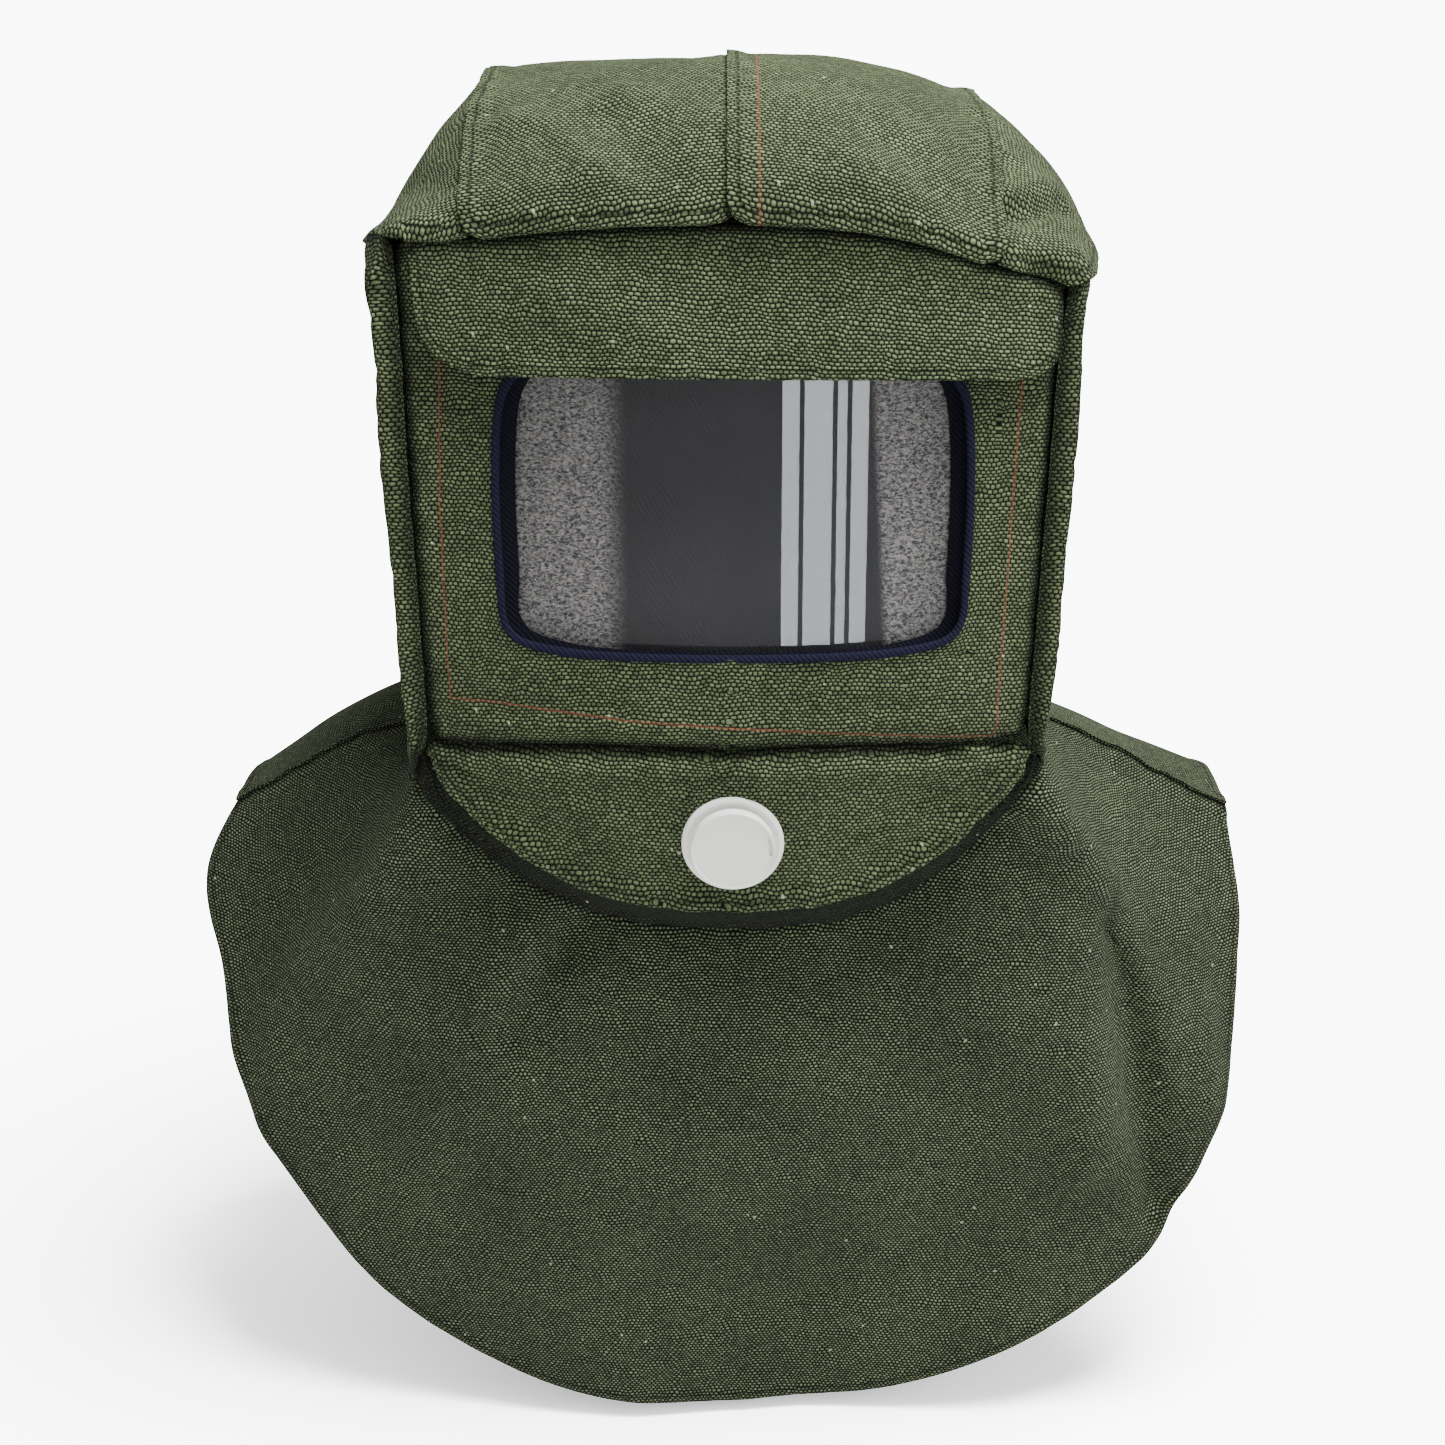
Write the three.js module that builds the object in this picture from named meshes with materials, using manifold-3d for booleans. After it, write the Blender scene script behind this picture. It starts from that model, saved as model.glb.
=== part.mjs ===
// Sandblasting hood: a canvas head cover with a brow flap, a barrel-shaped window,
// a crescent chin panel with a round exhalation valve, and a cape over the shoulders.
// Millimetres, +Z up, the face looks along -Y, +X is the wearer's left.
// The origin is the underside of the crown at its middle, where a head carries it.

import * as THREE from "three";
import Module from "manifold-3d";
import { mergeVertices } from "three/addons/utils/BufferGeometryUtils.js";

// Cloth and seams
const canvas_thickness = 2.0;
const seam_gap = 0.4;
const lap_clearance = 0.4;

// Head
const head_half_width = 166;
const head_front = 152;
const head_back = 130;
const crown_rise = 88;
const crown_panel_half_width = 116;
const brow_sink = 2;

// Face and window
const face_height = 223;
const wall_overrun = 26;
const face_bow = 18;
const face_bow_at_brow = 13;
const face_recess = 20;
const window_half_width = 105;
const window_half_height = 68;
const window_drop = 200;
const window_corner_power = 5;
const binding_width = 2.6;
const binding_cloth = 0.8;
const facing_reach = 8;
const facing_end_reach = 1;
const facing_depth = 8;
const facing_cover = 6;
const lens_thickness = 1.2;
const lens_overlap = 4;
const screen_thickness = 0.8;

// Brow flap
const flap_height = 62;
const flap_margin = 25;
const flap_lift = 6;

// Chin and valve
const chin_drop = 76;
const chin_setback = 10;
const chin_corner_drop = 6;
const chin_corner_setback = 1;
const chin_corner_overhang = 3;
const chin_belly = 3;
const chin_curve_power = 2.7;
const band_drop = 20;
const band_setback = 28;
const band_belly = 4;
const neck_corner_drop = 2;
const valve_margin = 8.4;
const valve_seat_rise = 1.5;
const valve_seat_rim = 3;
const valve_seat_reach = 20;
const valve_tilt = THREE.MathUtils.degToRad(9);
const valve_flange_radius = 23.6;
const valve_flange_thickness = 3;
const valve_flange_round = 0.8;
const valve_neck_radius = 15;
const valve_neck_length = 7;
const valve_hole_depth = 30;
const valve_cap_radius = 20.4;
const valve_cap_height = 8;
const valve_cap_round = 1;
const valve_cap_rim = 2.2;
const valve_cap_slope = 0.6;
const valve_cap_dish = 0.7;

// Cape
const cape_half_width = 270;
const cape_front_drop = 681;
const cape_back_drop = 625;
const cape_front_depth = 95;
const cape_back_depth = 160;
const fold_depth = 12;
const shoulder_swell = { right: 24, left: 8 };
const chest_swell = 14;
const back_swell = 12;

const side_seam_height = canvas_thickness - crown_rise - brow_sink;
const head_depth = head_front + head_back;
const wall_height = face_height + wall_overrun;

// A table is a list of rows, and each row is read by the names of its columns.
const table = (columns, rows) =>
  rows.map((row) => Object.fromEntries(columns.map((name, index) => [name, row[index]])));

// Plan of the head wall, from its edge beside the face, over the rolled ridge, round the side to the
// middle of the back. Width is a share of the head's half width there, depth a share of its whole depth.
const plan = table(
  ["round", "width", "depth"],
  [
    [0.0, 0.9, 0.06],
    [0.034, 0.929, 0.06],
    [0.068, 0.952, 0.085],
    [0.09, 0.961, 0.121],
    [0.15, 0.984, 0.202],
    [0.252, 1.0, 0.344],
    [0.342, 1.0, 0.468],
    [0.423, 0.985, 0.582],
    [0.507, 0.945, 0.695],
    [0.597, 0.855, 0.809],
    [0.66, 0.758, 0.876],
    [0.71, 0.665, 0.918],
    [0.793, 0.48, 0.957],
    [0.898, 0.24, 0.989],
    [1.0, 0.0, 1.0],
  ],
);
const face_edge_share = 0.888;
const back_seam_round = 0.71;
const rim_round = 0.068;

// Places round the wall where its cloth is shaped: the plan's rows, and the middle of each long stretch.
const longest_stretch = 0.051;
const wall_rounds = plan.flatMap((row, index) => {
  const next = plan[index + 1];
  const long = next && next.round - row.round > longest_stretch;
  return long ? [row.round, (row.round + next.round) / 2] : [row.round];
});
const side_rounds = wall_rounds.filter((round) => round <= back_seam_round);
const crown_overs = side_rounds.map((round) => round / back_seam_round);

// How the head's half width narrows from the crown seam down to the neck.
const waist = table(
  ["down", "right", "left"],
  [
    [-0.06, 1.0, 1.0],
    [0.0, 1.0, 1.0],
    [0.06, 0.995, 0.99],
    [0.12, 0.985, 0.972],
    [0.3, 0.981, 0.956],
    [0.6, 0.965, 0.936],
    [0.9, 0.947, 0.915],
    [1.1, 0.94, 0.91],
  ],
);

// Height of the seam between crown and wall, as shares of the crown's rise below its own level.
const side_seam = table(
  ["round", "right_drop", "left_drop"],
  [
    [0.0, -0.045, 0.185],
    [0.09, -0.03, 0.1],
    [0.15, -0.02, 0.03],
    [0.35, 0.0, 0.01],
    [0.71, 0.075, 0.075],
    [1.0, 0.075, 0.075],
  ],
);

// The crown's middle line and its panel seam, from the brow over the top to the back.
// Depths are shares of the head's depth, heights shares of the crown's rise, seam widths shares of its
// panel's half width. The lean columns lower the seam on each side.
const crown_line = table(
  ["over", "depth", "height", "seam_width", "seam_drop", "left_lean"],
  [
    [0.0, 0.0, 0.112, 0.98, 0.075, 0.135],
    [0.1, 0.012, 0.29, 0.99, 0.085, 0.13],
    [0.22, 0.075, 0.53, 1.0, 0.095, 0.12],
    [0.32, 0.165, 0.73, 1.01, 0.1, 0.12],
    [0.42, 0.275, 0.875, 1.0, 0.095, 0.12],
    [0.52, 0.41, 0.965, 1.0, 0.08, 0.12],
    [0.6, 0.53, 1.0, 1.0, 0.07, 0.11],
    [0.7, 0.675, 0.975, 1.0, 0.08, 0.09],
    [0.8, 0.81, 0.83, 0.97, 0.11, 0.05],
    [0.88, 0.9, 0.6, 0.89, 0.1, 0.03],
    [0.95, 0.965, 0.25, 0.79, 0.06, 0.01],
    [1.0, 1.0, -0.075, 0.69, 0.0, 0.0],
  ],
);
const crown_shoulder_power = { right: 1.3, left: 1.62 };
const seam_depth_share = 0.6;
const panel_share = 0.6;

// Dents and swells of the crown: place, reach and depth, the depth as a share of the crown's rise.
const crown_dents = table(
  ["across", "over", "across_reach", "over_reach", "depth"],
  [
    [-0.22, 0.2, 0.12, 0.1, 0.05],
    [-0.45, 0.22, 0.1, 0.12, -0.03],
    [0.3, 0.28, 0.14, 0.12, 0.03],
    [0.7, 0.16, 0.07, 0.1, 0.06],
    [0.83, 0.14, 0.06, 0.1, -0.04],
    [-0.75, 0.22, 0.08, 0.14, 0.03],
    [0.35, 0.75, 0.2, 0.15, 0.03],
    [-0.4, 0.8, 0.2, 0.12, 0.03],
  ],
);

// Lower edge of the wall, from beside the face to the back, as shares of the wall's height.
const neck_line = table(
  ["round", "right", "left"],
  [
    [0.0, 0.905, 0.902],
    [0.03, 0.912, 0.91],
    [0.068, 0.955, 0.925],
    [0.09, 0.985, 0.94],
    [0.15, 1.0, 0.945],
    [0.342, 1.022, 0.96],
    [0.5, 0.985, 0.965],
    [0.71, 0.965, 0.965],
    [1.0, 0.965, 0.965],
  ],
);

// Outline of the brow flap: half widths as shares of its own, and how far each row hangs.
const flap_outline = table(
  ["down", "right", "left"],
  [
    [0.0, 1.0, 1.02],
    [0.45, 0.985, 1.022],
    [0.72, 0.965, 1.018],
    [0.86, 0.93, 1.0],
    [0.95, 0.88, 0.97],
    [1.0, 0.81, 0.93],
  ],
);

// Neck edge and hem of the cape, from the middle of the front (0) over the shoulder seam (0.5) to the
// middle of the back (1). Neck depths follow the wall's plan. Hem columns are shares of the cape's half
// width, of its drop and of its depth on that side.
const hem_right = table(
  ["round", "width", "drop", "depth"],
  [
    [0.0, 0.0, 1.0, -1.0],
    [0.08, 0.32, 0.987, -1.0],
    [0.17, 0.645, 0.918, -0.95],
    [0.26, 0.853, 0.81, -0.87],
    [0.34, 0.94, 0.725, -0.7],
    [0.42, 1.03, 0.614, -0.4],
    [0.5, 0.975, 0.55, -0.1],
    [0.56, 0.98, 0.543, 0.2],
    [0.62, 0.97, 0.555, 0.48],
    [0.69, 0.93, 0.64, 0.7],
    [0.78, 0.8, 0.785, 0.88],
    [0.88, 0.48, 0.93, 0.97],
    [1.0, 0.0, 1.0, 1.0],
  ],
);
const hem_left = table(
  ["round", "width", "drop", "depth"],
  [
    [0.0, 0.0, 1.0, -1.0],
    [0.08, 0.3, 0.991, -1.0],
    [0.17, 0.62, 0.932, -0.96],
    [0.26, 0.865, 0.848, -0.88],
    [0.34, 0.935, 0.762, -0.72],
    [0.42, 0.985, 0.645, -0.44],
    [0.5, 0.975, 0.553, -0.1],
    [0.56, 0.98, 0.548, 0.2],
    [0.62, 0.97, 0.56, 0.48],
    [0.69, 0.93, 0.64, 0.7],
    [0.78, 0.8, 0.785, 0.88],
    [0.88, 0.48, 0.93, 0.97],
    [1.0, 0.0, 1.0, 1.0],
  ],
);
const shoulder_seam_round = 0.5;
const chin_corner_round = 0.27;

// Folds of the cape: where each starts at the neck and ends at the hem, its reach to either side, its
// height as a share of the fold depth, and how far down it is strongest.
const cape_folds = table(
  ["neck", "hem", "reach", "height", "strongest"],
  [
    [-0.17, -0.15, 0.035, 0.5, 0.35],
    [-0.24, -0.24, 0.04, -0.45, 0.6],
    [-0.33, -0.33, 0.03, 0.5, 0.8],
    [-0.38, -0.385, 0.025, -0.45, 0.9],
    [0.22, 0.2, 0.035, 0.7, 0.5],
    [0.27, 0.27, 0.028, -1.0, 0.6],
    [0.31, 0.335, 0.03, 0.6, 0.6],
    [0.05, 0.05, 0.06, -0.4, 0.8],
    [0.8, 0.8, 0.05, 0.6, 0.8],
    [-0.8, -0.8, 0.05, 0.6, 0.8],
    [0.97, 0.97, 0.05, -0.5, 0.8],
  ],
);

// Smooth curve through a column of a table.
function read(rows, place, column) {
  const key = Object.keys(rows[0])[0];
  const last = rows.length - 1;
  if (place <= rows[0][key]) return rows[0][column];
  if (place >= rows[last][key]) return rows[last][column];
  const index = rows.findIndex((row, i) => i < last && place <= rows[i + 1][key]);
  const slope = (i) => {
    const before = rows[Math.max(i - 1, 0)];
    const after = rows[Math.min(i + 1, last)];
    return (after[column] - before[column]) / (after[key] - before[key]);
  };
  const [start, end] = [rows[index], rows[index + 1]];
  const span = end[key] - start[key];
  const t = (place - start[key]) / span;
  const rise = end[column] - start[column];
  const [m0, m1] = [slope(index) * span, slope(index + 1) * span];
  return start[column] + m0 * t + (3 * rise - 2 * m0 - m1) * t * t + (m0 + m1 - 2 * rise) * t * t * t;
}

const mix = THREE.MathUtils.lerp;
const clamp = THREE.MathUtils.clamp;
const bump = (distance) => Math.exp(-distance * distance);

// Head wall, sides and back. Side is +1 or -1, round runs from beside the face to the back's middle.
const depthOf = (share) => share * head_depth - head_front;
const sideColumn = (side) => (side > 0 ? "left" : "right");

function halfWidthAt(side, z) {
  return head_half_width * read(waist, (side_seam_height - z) / wall_height, sideColumn(side));
}

function crownSeamHeight(side, round) {
  return side_seam_height - crown_rise * read(side_seam, round, `${sideColumn(side)}_drop`);
}

function neckHeight(side, round) {
  return side_seam_height - wall_height * read(neck_line, round, sideColumn(side));
}

function wallPoint(side, round, down) {
  const z = mix(crownSeamHeight(side, round), neckHeight(side, round), down);
  const x = side * halfWidthAt(side, z) * read(plan, round, "width");
  return new THREE.Vector3(x, depthOf(read(plan, round, "depth")), z);
}

// Crown: across runs from -1 to 1, over from the brow to the back.
function crownPoint(across, over) {
  const side = Math.sign(across) || 1;
  const far = Math.abs(across);
  const round = back_seam_round * clamp(over, 0, 1);
  const foot = wallPoint(side, round, 0);
  const top_y = depthOf(read(crown_line, over, "depth"));
  const top_z = mix(side_seam_height, canvas_thickness, read(crown_line, over, "height"));
  const lean = side > 0 ? read(crown_line, over, "left_lean") : 0;
  const seam_z = top_z - crown_rise * (read(crown_line, over, "seam_drop") + lean);
  const seam_x = crown_panel_half_width * read(crown_line, over, "seam_width");
  const seam_y = mix(top_y, foot.y, seam_depth_share);
  const point = new THREE.Vector3();
  if (far <= panel_share) {
    const share = far / panel_share;
    point.set(side * seam_x * share, mix(top_y, seam_y, share ** 2.4), mix(top_z, seam_z, share ** 2.6));
  } else {
    const share = clamp((far - panel_share) / (1 - panel_share), 0, 1);
    const turn = (share * Math.PI) / 2;
    const power = 2 / crown_shoulder_power[sideColumn(side)];
    const reach = Math.sin(turn) ** power;
    const rise = Math.max(Math.cos(turn), 0) ** power;
    const x = side * mix(seam_x, Math.abs(foot.x), reach);
    point.set(x, mix(seam_y, foot.y, reach), mix(foot.z, seam_z, rise));
  }
  let sink = 0;
  for (const dent of crown_dents) {
    const away = (across - dent.across) / dent.across_reach;
    const along = (over - dent.over) / dent.over_reach;
    sink += dent.depth * crown_rise * bump(Math.hypot(away, along));
  }
  const inward = new THREE.Vector3(0, 0, side_seam_height).sub(point).normalize();
  return point.addScaledVector(inward, sink);
}

// Front of the hood: the brow line, the bowed face and what lies on it.
function browHeight(x) {
  const side = Math.sign(x) || 1;
  const out = Math.min(Math.abs(x), head_half_width);
  const seam_x = crown_panel_half_width * crown_line[0].seam_width;
  if (out <= seam_x) return crownPoint(side * panel_share * (out / seam_x), 0).z;
  const seam = crownPoint(side * panel_share, 0);
  const foot = wallPoint(side, 0, 0);
  const share = (out - Math.abs(seam.x)) / (Math.abs(foot.x) - Math.abs(seam.x));
  return mix(seam.z, foot.z, clamp(share, 0, 1));
}

const face_top = side_seam_height;
const face_bottom = face_top - face_height;
const face_edge_depth = -(head_front - face_recess);
const face_middle_depth = face_edge_depth - face_bow;
const faceHalfWidth = (side, z) => halfWidthAt(side, z) * face_edge_share;

function faceDepth(x, z) {
  const share = clamp(Math.abs(x) / faceHalfWidth(x, z), 0, 1);
  const below_brow = clamp((face_top - z) / flap_height, 0, 1);
  const bow = mix(face_bow_at_brow, face_bow, below_brow);
  return face_edge_depth - bow * (1 - share ** 2);
}

// The window's outline as a rounded barrel, grown or shrunk by a margin on each axis.
function windowEdge(turn, side_margin, end_margin) {
  const power = 2 / window_corner_power;
  const [c, s] = [Math.cos(turn), Math.sin(turn)];
  return {
    x: (window_half_width + side_margin) * Math.sign(c) * Math.abs(c) ** power,
    z: -window_drop + (window_half_height + end_margin) * Math.sign(s) * Math.abs(s) ** power,
  };
}

// Turn of the window's outline spaced so that its corners get as many points as its sides.
const window_stations = 40;
const stationTurn = (station) => {
  const turn = (station / window_stations) * Math.PI * 2;
  return turn + 0.22 * Math.sin(4 * turn);
};

// The face's outer edge met by a ray from the window's middle.
function faceBorder(turn) {
  const [c, s] = [Math.cos(turn), Math.sin(turn)];
  let [near, beyond] = [0, head_half_width * 3];
  for (let step = 0; step < 40; step += 1) {
    const reach = (near + beyond) / 2;
    const [x, z] = [reach * c, -window_drop + reach * s];
    const inside = Math.abs(x) < faceHalfWidth(x, z) && z > face_bottom && z < browHeight(x);
    if (inside) near = reach;
    else beyond = reach;
  }
  return { x: near * c, z: -window_drop + near * s };
}

function facePoint(turn, out) {
  const inner = windowEdge(turn, 0, 0);
  const border = faceBorder(Math.atan2(inner.z + window_drop, inner.x));
  const [x, z] = [mix(inner.x, border.x, out), mix(inner.z, border.z, out)];
  return new THREE.Vector3(x, faceDepth(x, z), z);
}

// Brow flap: it hangs from the brow and lifts away from the face towards its free edge.
function flapPoint(across, down) {
  const side = Math.sign(across) || 1;
  const half = (head_half_width - flap_margin) * read(flap_outline, down, sideColumn(side));
  const x = across * half;
  const hem = face_top - flap_height * mix(0.9, 0.93, (across + 1) / 2);
  const z = mix(browHeight(x) - canvas_thickness, hem, down);
  const swing = Math.sin((clamp(down, 0, 1) * Math.PI) / 2) ** 1.5;
  const lift = canvas_thickness + lap_clearance + flap_lift * swing;
  return new THREE.Vector3(x, faceDepth(x, z) - lift, z);
}

// Chin: the crescent panel hangs from the face's lower edge, and the band turns back under it.
const chinHalfWidth = (across) => faceHalfWidth(across, face_bottom);
const chinArc = (across, end, low) => mix(end, low, 1 - Math.abs(across) ** chin_curve_power);

function chinEdge(across) {
  const z = chinArc(across, face_bottom - chin_corner_drop, face_bottom - chin_drop);
  const y = mix(face_edge_depth + chin_corner_setback, face_middle_depth + chin_setback, 1 - across ** 2);
  return new THREE.Vector3(across * (chinHalfWidth(across) + chin_corner_overhang), y, z);
}

function chinNeck(across) {
  const side = Math.sign(across) || 1;
  const corner = wallPoint(side, rim_round, 1);
  const low = face_bottom - chin_drop - band_drop;
  const z = chinArc(across, corner.z - neck_corner_drop, low);
  const y = mix(corner.y, face_middle_depth + chin_setback + band_setback, 1 - Math.abs(across) ** 3);
  return new THREE.Vector3(Math.abs(across) * corner.x, y, z);
}

// The valve's flange stays clear of the chin's lower seam by the valve margin.
const valve_height = face_bottom - chin_drop + valve_margin + valve_flange_radius;
const valve_share = (face_bottom - valve_height) / chin_drop;
const valve_depth = face_middle_depth + chin_setback * valve_share - valve_seat_rise;
const valve_place = new THREE.Vector3(0, valve_depth, valve_height);
const valve_out = new THREE.Vector3(0, -Math.cos(valve_tilt), -Math.sin(valve_tilt));

function chinPoint(across, down) {
  const top = new THREE.Vector3(across * chinHalfWidth(across), 0, face_bottom);
  top.y = faceDepth(top.x, top.z);
  const point = top.lerp(chinEdge(across), down);
  point.y -= chin_belly * Math.sin(down * Math.PI) * (1 - across ** 2);
  const flat_y = valve_place.y - (point.z - valve_place.z) * (valve_out.z / valve_out.y);
  const from_valve = Math.hypot(point.x - valve_place.x, point.z - valve_place.z);
  const [seat_rim, seat_end] = [valve_flange_radius + valve_seat_rim, valve_flange_radius + valve_seat_reach];
  const seat = THREE.MathUtils.smoothstep(from_valve, seat_rim, seat_end);
  point.y = mix(flat_y, point.y, seat);
  return point;
}

function bandPoint(across, down) {
  const point = chinEdge(across).lerp(chinNeck(across), down);
  point.y -= band_belly * Math.sin(down * Math.PI) * (1 - across ** 4);
  return point;
}

// Cape: around runs from -1 (middle of the back) over 0 (middle of the front) to 1, down from neck to hem.
function neckPoint(around) {
  const side = Math.sign(around) || 1;
  const far = Math.abs(around);
  if (far <= chin_corner_round) return chinNeck(around / chin_corner_round);
  const share = (far - chin_corner_round) / (1 - chin_corner_round);
  const point = wallPoint(side, mix(rim_round, 1, share), 1);
  const settled = THREE.MathUtils.smoothstep(far, chin_corner_round, chin_corner_round + 0.05);
  point.z -= mix(neck_corner_drop, 0, settled);
  return point;
}

function hemPoint(around) {
  const side = Math.sign(around) || 1;
  const hem = side > 0 ? hem_left : hem_right;
  const far = Math.abs(around);
  const drop = mix(cape_front_drop, cape_back_drop, THREE.MathUtils.smoothstep(far, 0.5, 1));
  const depth = read(hem, far, "depth");
  return new THREE.Vector3(
    side * cape_half_width * read(hem, far, "width"),
    depth * (depth < 0 ? cape_front_depth : cape_back_depth),
    -drop * read(hem, far, "drop"),
  );
}

function capePoint(around, down) {
  const far = Math.abs(around);
  const neck = neckPoint(around);
  const hem = hemPoint(around);
  const point = neck.clone().lerp(hem, down);
  const swell = Math.sin(Math.sqrt(clamp(down, 0, 1)) * Math.PI);
  const at_shoulder = bump((far - 0.58) / 0.14) * shoulder_swell[sideColumn(around)];
  const at_front = bump(far / 0.25);
  const at_back = bump((far - 1) / 0.25);
  const early = Math.sin(Math.min(down * 1.35, 1) * Math.PI);
  point.z += swell * at_shoulder;
  point.y -= (chest_swell * at_front - back_swell * at_back) * early;
  const outward = new THREE.Vector3(point.x * 0.6, point.y, 0).normalize();
  for (const fold of cape_folds) {
    const middle = mix(fold.neck, fold.hem, down);
    const strength = bump((down - fold.strongest) / 0.45) * Math.min(down * 4, 1);
    const near = bump((around - middle) / fold.reach);
    point.addScaledVector(outward, fold.height * fold_depth * strength * near);
  }
  return point;
}

// Solids
const colours = {
  canvas: { color: "#59613f", roughness: 0.95 },
  binding: { color: "#23243a", roughness: 0.9 },
  pane: { color: "#c9ccd2", roughness: 0.05 },
  screen: { color: "#3c3b3d", roughness: 0.5 },
  valve: { color: "#dcdad8", roughness: 0.4 },
};
const paint = (slot) => new THREE.MeshStandardMaterial({ ...colours[slot], metalness: 0 });
const hood = new THREE.Group();

function addMesh(name, slot, positions, indices) {
  const geometry = new THREE.BufferGeometry();
  geometry.setAttribute("position", new THREE.Float32BufferAttribute(positions, 3));
  geometry.setIndex(indices);
  const mesh = new THREE.Mesh(geometry, paint(slot));
  mesh.name = name;
  hood.add(mesh);
  return mesh;
}

// Triangles of a closed solid face outward where its volume comes out positive.
function facingOut(points, triangles) {
  let volume = 0;
  for (const [a, b, c] of triangles) volume += points[a].dot(points[b].clone().cross(points[c]));
  return volume > 0 ? triangles : triangles.map(([a, b, c]) => [a, c, b]);
}

function addSolid(name, slot, points, triangles) {
  const turned = facingOut(points, triangles);
  return addMesh(
    name,
    slot,
    points.flatMap((p) => [p.x, p.y, p.z]),
    turned.flat(),
  );
}

// The middle of the head as a box. Cloth of the head has its thickness towards it, so that panels which
// meet at an angle have one common mitre.
const head_core = new THREE.Box3(
  new THREE.Vector3(-0.42 * head_half_width, -0.4 * head_front, side_seam_height - 0.9 * wall_height),
  new THREE.Vector3(0.42 * head_half_width, 0.4 * head_back, side_seam_height - 0.5 * crown_rise),
);
const outOfHead = (point) => point.clone().sub(head_core.clampPoint(point, new THREE.Vector3())).normalize();
const outOfFace = () => new THREE.Vector3(0, -1, 0);
const chest_middle = new THREE.Vector3(0, 0.15 * head_back, -0.88 * cape_front_drop);
const outOfChest = (point) => point.clone().sub(chest_middle);

const evenly = (from, to, count) => Array.from({ length: count + 1 }, (_, k) => mix(from, to, k / count));

// A sheet of even thickness: its outer face follows a surface, its inner face lies behind it. The rim is
// pulled in by half a seam gap, so neighbours that share an edge stay apart. A looped sheet closes on itself.
function addSheet(name, slot, surface, across, down, options = {}) {
  const { looped = false, outOf = outOfHead } = options;
  const step = 0.004;
  const [columns, rows] = [across.length - 1, down.length - 1];
  const wide = looped ? columns : columns + 1;
  const outer = [];
  const inner = [];
  for (let row = 0; row <= rows; row += 1) {
    for (let column = 0; column < wide; column += 1) {
      const [u, v] = [across[column], down[row]];
      const point = surface(u, v);
      const along_u = surface(u + step, v).sub(surface(u - step, v));
      const along_v = surface(u, v + step).sub(surface(u, v - step));
      const normal = along_u.clone().cross(along_v).normalize();
      const outward = outOf(point);
      if (normal.dot(outward) < 0) normal.negate();
      const back = outOf === outOfChest ? normal : outward.divideScalar(Math.max(outward.dot(normal), 0.6));
      if (!looped && column === 0) point.addScaledVector(along_u.clone().normalize(), seam_gap / 2);
      if (!looped && column === columns) point.addScaledVector(along_u.clone().normalize(), -seam_gap / 2);
      if (row === 0) point.addScaledVector(along_v.clone().normalize(), seam_gap / 2);
      if (row === rows) point.addScaledVector(along_v.clone().normalize(), -seam_gap / 2);
      outer.push(point);
      inner.push(point.clone().addScaledVector(back, -canvas_thickness));
    }
  }
  const points = [...outer, ...inner];
  const behind = outer.length;
  const at = (column, row) => row * wide + (column % wide);
  const triangles = [];
  const quad = (a, b, c, d) => triangles.push([a, b, c], [a, c, d]);
  for (let row = 0; row < rows; row += 1) {
    for (let column = 0; column < columns; column += 1) {
      const [a, b] = [at(column, row), at(column + 1, row)];
      const [c, d] = [at(column + 1, row + 1), at(column, row + 1)];
      quad(a, b, c, d);
      quad(behind + d, behind + c, behind + b, behind + a);
    }
  }
  for (let column = 0; column < columns; column += 1) {
    const [a, b] = [at(column, 0), at(column + 1, 0)];
    const [c, d] = [at(column, rows), at(column + 1, rows)];
    quad(b, a, behind + a, behind + b);
    quad(c, d, behind + d, behind + c);
  }
  if (!looped) {
    for (let row = 0; row < rows; row += 1) {
      const [a, b] = [at(0, row), at(0, row + 1)];
      const [c, d] = [at(columns, row), at(columns, row + 1)];
      quad(a, b, behind + b, behind + a);
      quad(d, c, behind + c, behind + d);
    }
  }
  return addSolid(name, slot, points, triangles);
}

// A ring swept round the window from a closed section of points.
function addWindowRing(name, slot, section) {
  const points = [];
  for (let station = 0; station < window_stations; station += 1) {
    points.push(...section(stationTurn(station)));
  }
  const count = points.length / window_stations;
  const triangles = [];
  for (let station = 0; station < window_stations; station += 1) {
    const next = (station + 1) % window_stations;
    for (let k = 0; k < count; k += 1) {
      const after = (k + 1) % count;
      const [a, b] = [station * count + k, station * count + after];
      const [c, d] = [next * count + after, next * count + k];
      triangles.push([a, b, c], [a, c, d]);
    }
  }
  return addSolid(name, slot, points, triangles);
}

// Crown of two middle panels and two shoulders
addSheet("crown_centre_right", "canvas", crownPoint, evenly(-panel_share, 0, 6), crown_overs);
addSheet("crown_centre_left", "canvas", crownPoint, evenly(0, panel_share, 6), crown_overs);
addSheet("crown_side_right", "canvas", crownPoint, evenly(-1, -panel_share, 6), crown_overs);
addSheet("crown_side_left", "canvas", crownPoint, evenly(panel_share, 1, 6), crown_overs);

// Side walls with the rolled ridge beside the face, and the back
addSheet("side_panel_right", "canvas", (u, v) => wallPoint(-1, u, v), side_rounds, evenly(0, 1, 7));
addSheet("side_panel_left", "canvas", (u, v) => wallPoint(1, u, v), side_rounds, evenly(0, 1, 7));
const backPoint = (u, v) => wallPoint(u < 0 ? -1 : 1, 1 - Math.abs(u), v);
const back_reach = 1 - back_seam_round;
addSheet("back_panel", "canvas", backPoint, evenly(-back_reach, back_reach, 8), evenly(0, 1, 7));

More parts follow.
